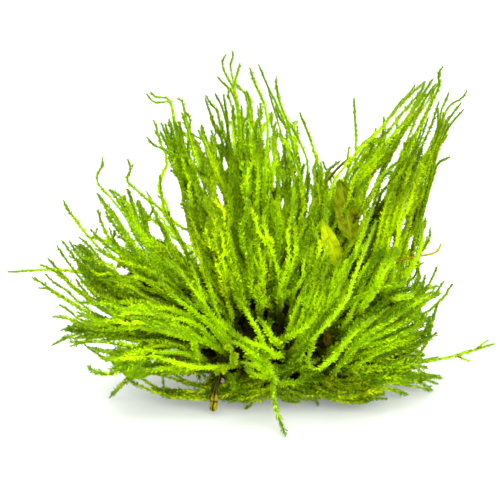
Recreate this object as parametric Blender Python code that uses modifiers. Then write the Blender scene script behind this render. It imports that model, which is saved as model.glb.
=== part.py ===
"""Spiky moss on driftwood: a short forked piece of driftwood overgrown by tufts of long leafy moss shoots.

The wood rests on its sawn underside at z = 0. Every tuft is a tapering solid that starts just off the
wood and reaches the tips of its shoots. The tables below are in millimetres; objects are in metres, +Z up.
"""

import math

import bmesh
import bpy
import numpy as np
from mathutils import Vector, noise
from mathutils.bvhtree import BVHTree

MM = 0.001

# Drawing frame: a plane through DRAWING_CENTRE that leans back, seen by an eye in front of it.
DRAWING_TILT = math.radians(18)
EYE_DISTANCE = 350.0
DRAWING_CENTRE = Vector((-1.35, 0.0, 36.5))

# Fits between pieces
GAP = 0.3
FLOOR_GAP = 0.35
ROOT_STANDOFF = 1.1
LEAST_RADIUS = 0.22

# Meshing
CENTRELINE_SAMPLES = 40
TUFT_RINGS = (0.0, 0.07, 0.18, 0.32, 0.48, 0.64, 0.79, 0.91, 1.0)
SHOOT_RINGS = 11
WOOD_RINGS_PER_SPAN = 3

# Driftwood limbs: the route of the middle line and the radius at each of its points
WOOD = {
    "driftwood_trunk": (
        ((-14, 4, 13.5), (-6, 2, 11.5), (4, 0, 10), (15, 0, 9.5), (26, 2, 9), (35, 6, 8)),
        (6.5, 10.5, 12, 12, 10, 6),
    ),
    "driftwood_fork_left": (((-6, 3, 12), (-16, 5, 20), (-23, 8, 24), (-31, 11, 27)), (7, 5.4, 4.2, 2.6)),
    "driftwood_fork_right": (((14, -3, 8), (20, -7, 16), (24, -8, 24), (28, -7, 33)), (5, 4.2, 3.2, 2)),
    "driftwood_stub": (((4, 3, 14), (3, 8, 24), (1, 11, 31)), (5.5, 4.2, 3)),
    "driftwood_twig": (
        ((-8, -4, 9), (-8.4, -12, 10.5), (-9.2, -17, 8.8), (-9.9, -18.4, 5.6), (-10.4, -19, 1.1)),
        (1.4, 1.2, 1.0, 0.85, 0.7, 0.55, 0.45, 0.42, 0.85, 1.0, 0.95),
    ),
}
WOOD_KNOBBLE = 0.1
WOOD_FLUTES = 3
WOOD_NOISE_SIZE = 7.0

# Tufts seen from the front: greatest radius, then points (across, rise) on the drawing plane with how far
# back each lies. The first point is only a hint of where on the wood the tuft is rooted.
TUFTS = {
    "moss_top_left_outer": (4.4, ((-7, -9, 4), (-12.5, 8.5, 4), (-16.5, 22.5, 5), (-20, 37, 6))),
    "moss_top_left_inner": (4.0, ((-4.5, -9.5, 9), (-8, 8.5, 12), (-12, 21, 14), (-16.5, 36.5, 14))),
    "moss_top_left_front": (3.6, ((-3, -10, -4), (-6.5, 8.5, -5), (-9.5, 21, -4), (-12, 31, -3))),
    "moss_top_fork": (3.8, ((0.5, 4, 13), (-3, 11, 17), (-6, 26, 17), (-9.5, 38, 17))),
    "moss_top_tall": (3.6, ((0, -9.5, 3), (-1, 12.5, 3), (-2.5, 32.5, 5), (-4.5, 49, 6))),
    "moss_top_mid": (3.6, ((3, -9.5, -5), (3.5, 11, -6), (3, 28.5, -4), (0, 45.5, -2))),
    "moss_top_mid_right": (3.6, ((4.5, -8.5, 9), (8.5, 11, 11), (8, 30, 12), (2.5, 45.5, 12))),
    "moss_top_right": (3.6, ((7.5, -9.5, 2), (13, 11, 2), (11, 26, 3), (6.5, 42.5, 4))),
    "moss_top_right_front": (3.2, ((10.5, -10, -6), (17, 8.5, -6), (16.5, 22.5, -4), (12.5, 33.5, -3))),
    "moss_notch": (3.0, ((12.5, -9.5, 8), (18.5, 6, 10), (19, 19.5, 11))),
    "moss_right_fan_left": (3.4, ((15.5, -10.5, -5), (23.5, 7.5, -6), (33, 26, -5), (41.5, 41, -4))),
    "moss_right_fan_back": (3.4, ((16.5, -10, 6), (26.5, 8.5, 8), (36.5, 27.5, 9), (45.5, 42.5, 10))),
    "moss_right_fan_tall": (3.4, ((18, -11.5, 0), (30.5, 8, 1), (39.5, 25, 2), (48, 45, 2))),
    "moss_far_right_front": (3.4, ((21, -15, -3), (37, 1.5, -3), (43.5, 17.5, -2), (49.5, 39, -1))),
    "moss_far_right_back": (3.4, ((22, -14.5, 7), (38.5, 1.5, 9), (46, 21, 10), (54, 39.5, 10))),
    "moss_far_right_side": (2.6, ((23.5, -17, 3), (37.5, -7, 4), (41.5, 5, 4), (50, 23, 3))),
    "moss_right_front_up": (3.8, ((12.5, -21, -14), (22, -9, -19), (28.5, 4, -20), (32, 13, -18))),
    "moss_right_front_mid": (3.6, ((15.5, -23, -13), (27, -14.5, -20), (36.5, -9.5, -21), (44, -4.5, -19))),
    "moss_right_mid": (3.4, ((26, -23, -8), (33, -16, -9), (40.5, -12.5, -8), (48, -7.5, -6))),
    "moss_right_low": (3.4, ((18.5, -25.5, -9), (31, -23, -14), (39.5, -20.5, -14), (46.5, -14.5, -12))),
    "moss_right_floor": (3.0, ((17.5, -29, -7), (30, -30, -9), (39.5, -30.5, -7), (48, -31.5, -4))),
    "moss_right_floor_front": (2.6, ((16, -31, -12), (25, -34, -18), (32.5, -35.5, -18), (39, -36.5, -16))),
    "moss_front_bright": (3.0, ((0.5, -23, -15), (1.5, -24, -24), (-1, -18.5, -28), (-4, -11.5, -29))),
    "moss_front_hook": (1.4, ((20, -25.5, -15), (23.7, -23.5, -21), (19.5, -28, -27), (14.5, -27.2, -27))),
    "moss_front_up_mid": (3.8, ((3, -17, -11), (3, -4.5, -16), (2, 5.5, -17), (1.5, 16, -15))),
    "moss_front_up_left": (3.8, ((-2.5, -18, -11), (-5.5, -5.5, -16), (-8, 5, -17), (-10.5, 15, -15))),
    "moss_front_up_right": (3.8, ((8.5, -17, -11), (12.5, -5, -16), (14, 5, -16), (14, 16, -13))),
    "moss_front_left_up": (3.4, ((-4.5, -22, -15), (-12, -14.5, -22), (-18.5, -8.5, -24), (-23.5, -3, -23))),
    "moss_front_left": (3.2, ((-5.5, -25, -16), (-15, -21, -24), (-23.5, -18, -27), (-32, -13, -28))),
    "moss_front_point": (3.0, ((-2.5, -27.5, -17), (-6.5, -27.5, -28), (-11, -28.5, -42))),
    "moss_left_up_inner": (3.2, ((-8.5, -13, 1), (-14.5, -2, 1), (-19, 7.5, 2), (-22.5, 18.5, 3))),
    "moss_left_up_curly": (3.2, ((-13, -8, 9), (-18, 0, 10), (-25, 10.5, 11), (-30.5, 22, 11))),
    "moss_left_up_outer": (3.6, ((-10, -11, -4), (-21, -3, -6), (-30.5, 7.5, -6), (-37, 23, -5))),
    "moss_left_up_low": (3.4, ((-14, -11, -1), (-25, -4, 0), (-36, 3.5, 2), (-46.5, 12, 4))),
    "moss_left_top": (3.4, ((-14, -16, -9), (-25.5, -9.5, -10), (-38, -3.5, -10), (-47, 2.5, -9))),
    "moss_left_mid": (3.2, ((-14, -19, -3), (-25.5, -15, -2), (-39.5, -11, 1), (-54, -7, 3))),
    "moss_left_mid_front": (3.2, ((-9.5, -19, -12), (-22.5, -17, -18), (-36, -16, -19), (-47.5, -13.5, -18))),
    "moss_left_low": (3.2, ((-11, -22, -7), (-25, -22, -10), (-38.5, -21.5, -10), (-49.5, -23.5, -9))),
    "moss_left_low_front": (3.2, ((-9, -24.5, -14), (-21, -25, -20), (-32.5, -25.5, -22), (-42.5, -23, -21))),
    "moss_left_floor": (2.0, ((-5, -32, -12), (-9, -34, -16), (-21, -35.5, -14), (-34.5, -36.5, -9))),
}

# Tufts on the far side: greatest radius, then world points
BACK_TUFTS = {
    "moss_back_top": (4.2, ((2, 12, 28), (4, 21, 42), (7, 29, 62))),
    "moss_back_left": (4.2, ((-14, 10, 22), (-24, 23, 29), (-34, 33, 42))),
    "moss_back_right": (4.2, ((18, 9, 17), (27, 23, 28), (37, 33, 44))),
    "moss_back_mid": (4.6, ((4, 12, 16), (2, 26, 24), (-1, 42, 32))),
    "moss_back_low_left": (4.2, ((-6, 12, 11), (-18, 25, 12), (-30, 35, 5))),
    "moss_back_low_right": (4.2, ((18, 12, 9), (24, 25, 11), (30, 37, 5))),
}

# Single shoots that stand clear of the tufts: radius, then points as for the tufts in front
SHOOTS = {
    "moss_shoot_upright": (0.8, ((19, -3, 3), (24.5, 11, 4), (26.5, 25, 4), (26, 38, 4))),
    "moss_shoot_far_left": (0.8, ((-15, -14, -5), (-32.5, -8, -4), (-47, -5, -2), (-60.5, -5.5, -2))),
    "moss_shoot_right_long": (0.8, ((38, -26.5, 4), (42.5, -28, 4), (51, -26.5, 4), (61, -23.5, 4))),
    "moss_shoot_front": (1.0, ((6.5, -30, -15), (5.7, -32, -22.5), (6.3, -38.7, -27.5), (8.8, -46, -31.5))),
}

# Thin stems caught in the moss: radius, then points as for the tufts in front
STEMS = {
    "stem_dark": (0.35, ((19.5, 17.5, 0), (22, 20.5, 0), (25.5, 23.5, 0))),
    "stem_pale": (0.3, ((39.5, -2, -6), (42.5, -1.5, -6), (46.5, -0.5, -6), (48, 2, -6))),
}

# Scraps of broad leaf caught in the moss: width, then base and tip as points in front
LEAVES = {
    "leaf_bright": (3.8, (22, -4, -18), (18.2, 7.2, -19)),
    "leaf_olive": (5.2, (25.5, 2.5, -12), (22.5, 17.5, -11)),
    "leaf_film": (6.4, (-24.2, -30, -11), (-35, -27.2, -11)),
}
LEAF_THICKNESS = 0.35
LEAF_ROWS = 8
LEAF_COLUMNS = 4
LEAF_CUP = 0.22

COLOURS = {
    "wood": ((0.055, 0.03, 0.014), 0.8),
    "moss": ((0.30, 0.48, 0.004), 0.45),
    "moss_tip": ((0.16, 0.30, 0.004), 0.45),
    "stem": ((0.20, 0.09, 0.012), 0.6),
    "leaf": ((0.36, 0.46, 0.006), 0.4),
}

model = bpy.data.collections.new("spiky_moss_on_driftwood")
cutters = bpy.data.collections.new("cutters")


def clear_scene():
    """Remove what the file opens with."""
    for thing in list(bpy.data.objects):
        bpy.data.objects.remove(thing, do_unlink=True)
    bpy.context.scene.collection.children.link(model)
    bpy.context.scene.collection.children.link(cutters)


def drawn(across, rise, back):
    """Give the world point that shows at (across, rise) on the drawing plane and lies `back` along +Y."""
    cos_tilt = math.cos(DRAWING_TILT)
    sin_tilt = math.sin(DRAWING_TILT)
    depth = (back - sin_tilt * rise) / (cos_tilt + sin_tilt * rise / EYE_DISTANCE)
    scale = 1 + depth / EYE_DISTANCE
    return DRAWING_CENTRE + Vector((across * scale, back, cos_tilt * rise * scale - sin_tilt * depth))


def smooth_line(points, count):
    """Sample a Catmull-Rom curve through the points, `count` samples evenly along its parameter."""
    rows = [np.array(point, dtype=float) for point in points]
    padded = [2 * rows[0] - rows[1], *rows, 2 * rows[-1] - rows[-2]]
    samples = []
    for step in np.linspace(0, len(rows) - 1, count):
        span = min(int(step), len(rows) - 2)
        t = step - span
        before, start, end, after = padded[span : span + 4]
        samples.append(
            0.5
            * (
                2 * start
                + (end - before) * t
                + (2 * before - 5 * start + 4 * end - after) * t**2
                + (3 * start - before - 3 * end + after) * t**3
            )
        )
    return np.array(samples)


def at_share(line, share):
    """Give the point a share of the way along a sampled line, by length."""
    steps = np.linalg.norm(np.diff(line, axis=0), axis=1)
    travelled = np.concatenate([[0], np.cumsum(steps)]) / steps.sum()
    return np.array([np.interp(share, travelled, line[:, axis]) for axis in range(3)])


def finish(name, kind, thing):
    """Give an object its own material and put it in the model."""
    colour, roughness = COLOURS[kind]
    material = bpy.data.materials.new(f"{name}_finish")
    material.use_nodes = True
    shader = material.node_tree.nodes["Principled BSDF"]
    shader.inputs["Base Color"].default_value = (*colour, 1)
    shader.inputs["Roughness"].default_value = roughness
    shader.inputs["Metallic"].default_value = 0
    thing.data.materials.append(material)
    model.objects.link(thing)


def tube(name, points, radii, bevel_resolution):
    """Make a tapering round rod in millimetres as a curve object with its origin at the first point."""
    data = bpy.data.curves.new(name, "CURVE")
    data.dimensions = "3D"
    data.bevel_depth = MM
    data.bevel_resolution = bevel_resolution
    data.use_fill_caps = True
    spline = data.splines.new("POLY")
    spline.points.add(len(points) - 1)
    for place, point, radius in zip(spline.points, points, radii, strict=True):
        place.co = (*(Vector(point - points[0]) * MM), 1)
        place.radius = radius
    thing = bpy.data.objects.new(name, data)
    thing.location = Vector(points[0]) * MM
    return thing


def as_mesh(thing):
    """Turn a curve object into a mesh object with welded caps, and remove the curve."""
    bpy.context.scene.collection.objects.link(thing)
    bpy.context.view_layer.update()
    graph = bpy.context.evaluated_depsgraph_get()
    mesh = bpy.data.meshes.new_from_object(thing.evaluated_get(graph))
    form = bmesh.new()
    form.from_mesh(mesh)
    bmesh.ops.remove_doubles(form, verts=form.verts, dist=1e-6)
    form.to_mesh(mesh)
    form.free()
    solid = bpy.data.objects.new(thing.name, mesh)
    solid.matrix_world = thing.matrix_world
    name = thing.name
    bpy.data.objects.remove(thing, do_unlink=True)
    solid.name = name
    return solid


def weather(solid, route):
    """Flute and knobble a limb's surface, leaving its middle line where it is."""
    line = smooth_line(route, CENTRELINE_SAMPLES)
    for vertex in solid.data.vertices:
        place = np.array(solid.matrix_world @ vertex.co) / MM
        middle = line[np.argmin(np.linalg.norm(line - place, axis=1))]
        outward = place - middle
        angle = math.atan2(outward[2], outward[1])
        swell = math.sin(WOOD_FLUTES * angle + place[0] / WOOD_NOISE_SIZE)
        lump = noise.noise(Vector(place) / WOOD_NOISE_SIZE)
        moved = middle + outward * (1 + WOOD_KNOBBLE * (0.4 * swell + lump))
        vertex.co = solid.matrix_world.inverted() @ (Vector(moved) * MM)


def limb(name):
    """Make one driftwood limb."""
    route, radii = WOOD[name]
    count = WOOD_RINGS_PER_SPAN * (len(route) - 1) + 1
    points = smooth_line(route, count)
    widths = np.interp(np.linspace(0, len(radii) - 1, count), range(len(radii)), radii)
    slender = name == "driftwood_twig"
    solid = as_mesh(tube(name, points, widths, 2 if slender else 5))
    if not slender:
        weather(solid, route)
    return solid


def subtract(solid, cutter):
    """Cut one object out of another with an exact Boolean."""
    cut = solid.modifiers.new("cut", "BOOLEAN")
    cut.operation = "DIFFERENCE"
    cut.solver = "EXACT"
    cut.object = cutter


def as_cutter(thing):
    """Keep an object as a hidden cutter."""
    thing.hide_render = True
    thing.display_type = "WIRE"
    cutters.objects.link(thing)
    return thing


def floor_cutter():
    """Make the block that saws the underside of the wood flat at z = 0."""
    size = 120 * MM
    form = bmesh.new()
    bmesh.ops.create_cube(form, size=size)
    bmesh.ops.translate(form, verts=form.verts, vec=(0, 0, -size / 2))
    mesh = bpy.data.meshes.new("saw_cut")
    form.to_mesh(mesh)
    form.free()
    return as_cutter(bpy.data.objects.new("saw_cut", mesh))


def joint_cutter(trunk):
    """Make a copy of the trunk, larger all round by the gap, that trims the limbs where they fork off."""
    mesh = trunk.data.copy()
    mesh.name = "fork_cut"
    normals = [vertex.normal.copy() for vertex in mesh.vertices]
    for vertex, normal in zip(mesh.vertices, normals, strict=True):
        vertex.co += normal * GAP * 1.2 * MM
    cutter = bpy.data.objects.new("fork_cut", mesh)
    cutter.matrix_world = trunk.matrix_world
    return as_cutter(cutter)


def build_wood():
    """Make the driftwood: a trunk sawn flat below, and its forks trimmed clear of it."""
    limbs = {name: limb(name) for name in WOOD}
    trunk = limbs["driftwood_trunk"]
    sides = joint_cutter(trunk)
    for name, solid in limbs.items():
        finish(name, "wood", solid)
        if solid is not trunk:
            subtract(solid, sides)
    subtract(trunk, floor_cutter())


def wood_surfaces():
    """Give a search tree over the finished surface of each limb, in metres."""
    bpy.context.view_layer.update()
    graph = bpy.context.evaluated_depsgraph_get()
    trees = []
    for name in WOOD:
        solid = bpy.data.objects[name].evaluated_get(graph)
        mesh = solid.to_mesh()
        corners = [solid.matrix_world @ vertex.co for vertex in mesh.vertices]
        trees.append(BVHTree.FromPolygons(corners, [face.vertices[:] for face in mesh.polygons]))
        solid.to_mesh_clear()
    return trees


def nearest_wood(point, surfaces):
    """Give the nearest point of the wood, the way out of it there, and the distance, in millimetres."""
    found = [tree.find_nearest(Vector(point) * MM) for tree in surfaces]
    place, outward, _, distance = min(found, key=lambda hit: hit[3])
    return np.array(place) / MM, np.array(outward), distance / MM


def rooted(points, surfaces):
    """Move a route's first point to just off the nearest wood."""
    place, outward, _ = nearest_wood(points[0], surfaces)
    return [place + ROOT_STANDOFF * outward, *[np.array(point) for point in points[1:]]]


def swelling(share):
    """Shape of a tuft: narrow where it is rooted, full in the middle, pointed at its tip."""
    return math.sin(math.pi * share**0.75) ** 0.6 if 0 < share < 1 else 0.0


def free_radius(point, others, surfaces):
    """Give the radius that stays clear of the other routes, the wood and the floor at a point."""
    _, _, wood = nearest_wood(point, surfaces)
    rooms = [wood - GAP, point[2] - FLOOR_GAP]
    for line, own_radius in others:
        distance = np.linalg.norm(line - point, axis=1).min() - GAP
        rooms.append(distance - own_radius if own_radius else distance / 2)
    return min(rooms)


def build_tuft(name, thickness, line, others, surfaces):
    """Make one tuft around its middle line, as full as its neighbours allow."""
    points = [at_share(line, share) for share in TUFT_RINGS]
    radii = [
        max(LEAST_RADIUS, min(thickness * swelling(share), 0.94 * free_radius(point, others, surfaces)))
        for share, point in zip(TUFT_RINGS, points, strict=True)
    ]
    finish(name, "moss", tube(name, points, radii, 2))


def build_strand(name, kind, radius, line):
    """Make one slender shoot or stem of nearly even thickness."""
    shares = np.linspace(0, 1, SHOOT_RINGS)
    points = [at_share(line, share) for share in shares]
    radii = [radius * min(1, 0.4 + 4 * share, 0.35 + 4 * (1 - share)) for share in shares]
    finish(name, kind, tube(name, points, radii, 1))


def build_leaf(name):
    """Make a cupped scrap of leaf that faces the front, thin and pointed at both ends."""
    width, base, tip = LEAVES[name]
    start, end = drawn(*base), drawn(*tip)
    along = end - start
    facing = Vector((0, -1, 0.3)).normalized()
    side = along.cross(facing).normalized()
    form = bmesh.new()
    rows = []
    for row in range(LEAF_ROWS + 1):
        share = row / LEAF_ROWS
        half = width / 2 * max(0.12, math.sin(math.pi * (0.08 + 0.84 * share)) ** 0.8)
        middle = start + along * share + facing * LEAF_CUP * width * math.sin(math.pi * share)
        cells = []
        for column in range(LEAF_COLUMNS + 1):
            offset = 2 * column / LEAF_COLUMNS - 1
            corner = middle + side * half * offset - facing * LEAF_CUP * half * offset**2
            cells.append(form.verts.new((corner - start) * MM))
        rows.append(cells)
    for lower, upper in zip(rows, rows[1:]):
        for left in range(LEAF_COLUMNS):
            form.faces.new((lower[left], lower[left + 1], upper[left + 1], upper[left]))
    mesh = bpy.data.meshes.new(name)
    form.to_mesh(mesh)
    form.free()
    leaf = bpy.data.objects.new(name, mesh)
    leaf.location = start * MM
    shell = leaf.modifiers.new("thickness", "SOLIDIFY")
    shell.thickness = LEAF_THICKNESS * MM
    shell.offset = 0
    finish(name, "leaf", leaf)


def moss_lines(surfaces):
    """Give each tuft's, shoot's and stem's middle line, with the tufts and shoots rooted on the wood."""
    lines = {}
    for name, (_, points) in {**TUFTS, **SHOOTS}.items():
        lines[name] = smooth_line(rooted([drawn(*point) for point in points], surfaces), CENTRELINE_SAMPLES)
    for name, (_, points) in BACK_TUFTS.items():
        lines[name] = smooth_line(rooted(points, surfaces), CENTRELINE_SAMPLES)
    for name, (_, points) in STEMS.items():
        lines[name] = smooth_line([drawn(*point) for point in points], CENTRELINE_SAMPLES)
    for name, (_, base, tip) in LEAVES.items():
        lines[name] = smooth_line([drawn(*base), drawn(*tip)], CENTRELINE_SAMPLES)
    return lines


def build_moss():
    """Make the tufts, the single shoots, the stems and the leaf scraps."""
    surfaces = wood_surfaces()
    lines = moss_lines(surfaces)
    own_radii = {name: radius for name, (radius, _) in {**SHOOTS, **STEMS}.items()}
    own_radii.update({name: width / 2 + LEAF_THICKNESS for name, (width, _, _) in LEAVES.items()})
    for name, (thickness, _) in {**TUFTS, **BACK_TUFTS}.items():
        others = [(line, own_radii.get(other)) for other, line in lines.items() if other != name]
        build_tuft(name, thickness, lines[name], others, surfaces)
    for name, (radius, _) in SHOOTS.items():
        build_strand(name, "moss_tip", radius, lines[name])
    for name, (radius, _) in STEMS.items():
        build_strand(name, "stem", radius, lines[name])
    for name in LEAVES:
        build_leaf(name)


clear_scene()
build_wood()
build_moss()
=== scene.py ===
"""Spiky moss on driftwood: a bushy clump of long leafy shoots grown on a short forked piece of wood.

Lengths are in millimetres up to the point where a mesh is made, and in metres in the mesh itself. A place in
the clump is mostly given as it is drawn: across and up the picture plane, and how far back it lies.
"""

import logging
import math
from dataclasses import dataclass
from dataclasses import field
from enum import Enum

import bpy
import numpy as np
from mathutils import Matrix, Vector
from mathutils import noise
from mathutils.bvhtree import BVHTree


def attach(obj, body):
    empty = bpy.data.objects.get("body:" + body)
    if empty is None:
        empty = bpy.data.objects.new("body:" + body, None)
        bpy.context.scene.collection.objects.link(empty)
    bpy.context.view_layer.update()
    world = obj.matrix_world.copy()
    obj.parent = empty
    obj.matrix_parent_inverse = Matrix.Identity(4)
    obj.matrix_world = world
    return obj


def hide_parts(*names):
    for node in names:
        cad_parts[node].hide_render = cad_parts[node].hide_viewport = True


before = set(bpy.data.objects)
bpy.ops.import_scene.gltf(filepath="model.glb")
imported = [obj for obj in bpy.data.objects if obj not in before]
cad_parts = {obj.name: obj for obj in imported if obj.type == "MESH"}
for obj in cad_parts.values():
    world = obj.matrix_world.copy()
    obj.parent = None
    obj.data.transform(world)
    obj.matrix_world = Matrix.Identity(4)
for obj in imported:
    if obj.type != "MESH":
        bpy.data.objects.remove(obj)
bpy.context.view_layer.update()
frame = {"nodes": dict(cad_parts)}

LOG = logging.getLogger("moss_clump")
MM = 0.001
BODY = "root"
BAKE_MAP = "OFBake"
GOLDEN_TURN = math.radians(137.5)

Point = tuple[float, float, float]
Spot = tuple[float, float]
Colour = tuple[float, float, float]


# Lines and places


@dataclass(frozen=True)
class Easel:
    """The picture plane that the clump is drawn on, and the eye in front of it."""

    tilt: float = math.radians(18)
    eye_distance: float = 350.0
    centre: Point = (-1.35, 0.0, 36.5)

    def place(self, across: float, rise: float, back: float) -> np.ndarray:
        """Give the place that is seen at a spot of the picture and lies a known way back.

        Args:
            across: distance to the right of the picture's middle.
            rise: distance above the picture's middle.
            back: how far behind the clump's middle the place lies.

        Returns:
            The place in millimetres.
        """
        lean = math.sin(self.tilt)
        level = math.cos(self.tilt)
        depth = (back - lean * rise) / (level + lean * rise / self.eye_distance)
        scale = 1 + depth / self.eye_distance
        drawn = (across * scale, back, level * rise * scale - lean * depth)
        return np.array(self.centre) + drawn

    def flat(self, line: np.ndarray) -> tuple[np.ndarray, np.ndarray]:
        """Give where a line is seen in the picture.

        Args:
            line: the line's points.

        Returns:
            How far across and how high each point is seen, and how many times larger it is than drawn.
        """
        offset = line - np.array(self.centre)
        sight = np.array((0, math.cos(self.tilt), -math.sin(self.tilt)))
        scale = 1 + offset @ sight / self.eye_distance
        return offset @ self.ways().T / scale[:, None], scale

    def ways(self) -> np.ndarray:
        """Give the ways across and up in the picture."""
        return np.array(((1, 0, 0), (0, math.sin(self.tilt), math.cos(self.tilt))))

    def eye(self) -> Vector:
        """Give the eye's place in metres."""
        away = Vector((0, -math.cos(self.tilt), math.sin(self.tilt)))
        return (Vector(self.centre) + away * self.eye_distance) * MM


EASEL = Easel()


def smooth_line(points: list[np.ndarray], spacing: float) -> np.ndarray:
    """Draw one smooth line through points.

    Args:
        points: the places it goes through.
        spacing: distance between the line's own points.

    Returns:
        The line's points, evenly spaced.
    """
    knots = np.array(points, float)
    first = 2 * knots[0] - knots[1]
    last = 2 * knots[-1] - knots[-2]
    knots = np.vstack((first, knots, last))
    steps = np.linspace(0, 1, 9)[:-1, None]
    parts = []
    for a, b, c, d in zip(knots[:-3], knots[1:-2], knots[2:-1], knots[3:]):
        parts.append(
            0.5 * (2 * b + (c - a) * steps + (2 * a - 5 * b + 4 * c - d) * steps**2
                   + (3 * b - a - 3 * c + d) * steps**3)
        )
    line = np.vstack((*parts, knots[-2:-1]))
    return even_line(line, spacing)


def length_along(line: np.ndarray) -> np.ndarray:
    """Give the distance along a line to each of its points."""
    return np.concatenate(([0.0], np.cumsum(np.linalg.norm(np.diff(line, axis=0), axis=1))))


def even_line(line: np.ndarray, spacing: float) -> np.ndarray:
    """Space a line's points evenly.

    Args:
        line: the points as they are.
        spacing: distance wanted between points.

    Returns:
        The line with even points, four of them at least.
    """
    along = length_along(line)
    count = max(4, int(round(along[-1] / spacing)) + 1)
    wanted = np.linspace(0, along[-1], count)
    return np.column_stack([np.interp(wanted, along, line[:, axis]) for axis in range(3)])


def unit(rows: np.ndarray) -> np.ndarray:
    """Give each row the length one."""
    return rows / np.maximum(np.linalg.norm(rows, axis=-1, keepdims=True), 1e-9)


def ease(share: np.ndarray | float) -> np.ndarray | float:
    """Rise smoothly from nought to one as the share does."""
    held = np.clip(share, 0, 1)
    return held * held * (3 - 2 * held)


def cross_frame(line: np.ndarray) -> tuple[np.ndarray, np.ndarray, np.ndarray]:
    """Give the directions along, beside and above a line, without a twist.

    Args:
        line: evenly spaced points.

    Returns:
        The line's own direction, a side direction and the third direction, at each point.
    """
    ahead = unit(np.gradient(line, axis=0))
    start = np.array((0.0, 0.0, 1.0)) if abs(ahead[0][2]) < 0.8 else np.array((0.0, 1.0, 0.0))
    side = np.empty_like(line)
    side[0] = unit(np.cross(ahead[0], start))
    for row in range(1, len(line)):
        carried = side[row - 1] - ahead[row] * (side[row - 1] @ ahead[row])
        side[row] = unit(carried)
    return ahead, side, np.cross(ahead, side)


class Ground:
    """The wood as packed, for rooting the moss on."""

    def __init__(self, nodes: dict[str, bpy.types.Object]) -> None:
        """Read the wood's surfaces from the frame's own nodes."""
        self.trees = []
        for name, thing in nodes.items():
            if name.startswith("driftwood"):
                spots = [vertex.co for vertex in thing.data.vertices]
                faces = [tuple(face.vertices) for face in thing.data.polygons]
                self.trees.append(BVHTree.FromPolygons(spots, faces))

    def nearest(self, point: np.ndarray) -> tuple[np.ndarray, np.ndarray]:
        """Find the wood nearest to a point.

        Args:
            point: a place in millimetres.

        Returns:
            The nearest place on the wood, and the way out of it there.
        """
        hits = [tree.find_nearest(Vector(point) * MM) for tree in self.trees]
        place, outward, _, _ = min(hits, key=lambda hit: hit[3])
        return np.array(place) / MM, np.array(outward)


GROUND = Ground(frame["nodes"])
ROOT_DEPTH = 0.4


# Finishes


class Value:
    """A number that changes over a surface, so that sums on it read as Python."""

    def __init__(self, bench: "Bench", socket: bpy.types.NodeSocket) -> None:
        """Keep the bench that sums go on and the socket that gives the number."""
        self.bench = bench
        self.socket = socket

    def _sum(self, operation: str, first: "Value | float", second: "Value | float") -> "Value":
        """Add one sum to the bench.

        Args:
            operation: the Math node's operation.
            first: its first number.
            second: its second number.

        Returns:
            The result.
        """
        node = self.bench.add("ShaderNodeMath", {"operation": operation}, {0: first, 1: second})
        return Value(self.bench, node.outputs[0])

    def __add__(self, other: "Value | float") -> "Value":
        """Add."""
        return self._sum("ADD", self, other)

    __radd__ = __add__

    def __sub__(self, other: "Value | float") -> "Value":
        """Take away."""
        return self._sum("SUBTRACT", self, other)

    def __rsub__(self, other: float) -> "Value":
        """Take this away from a number."""
        return self._sum("SUBTRACT", other, self)

    def __mul__(self, other: "Value | float") -> "Value":
        """Multiply."""
        return self._sum("MULTIPLY", self, other)

    __rmul__ = __mul__

    def __truediv__(self, other: "Value | float") -> "Value":
        """Divide."""
        return self._sum("DIVIDE", self, other)

    def __pow__(self, other: float) -> "Value":
        """Raise to a power."""
        return self._sum("POWER", self, other)

    def unsigned(self) -> "Value":
        """Give this without its sign."""
        node = self.bench.add("ShaderNodeMath", {"operation": "ABSOLUTE"}, {0: self})
        return Value(self.bench, node.outputs[0])

    def larger(self, other: "Value") -> "Value":
        """Give the larger of this and another."""
        return self._sum("MAXIMUM", self, other)

    def over(self, limit: float) -> "Value":
        """Give one where this is over a limit, and else nought."""
        return self._sum("GREATER_THAN", self, limit)

    def ramp(self, low: float, high: float) -> "Value":
        """Rise from nought to one between two limits.

        Args:
            low: where it starts to rise.
            high: where it is one.

        Returns:
            The share, held between nought and one.
        """
        settings = {"clamp": True, "interpolation_type": "SMOOTHSTEP"}
        node = self.bench.add("ShaderNodeMapRange", settings, {0: self, 1: low, 2: high})
        return Value(self.bench, node.outputs[0])

    def bands(self) -> "Value":
        """Give the sine of this."""
        return self._sum("SINE", self, 0.0)


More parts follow.
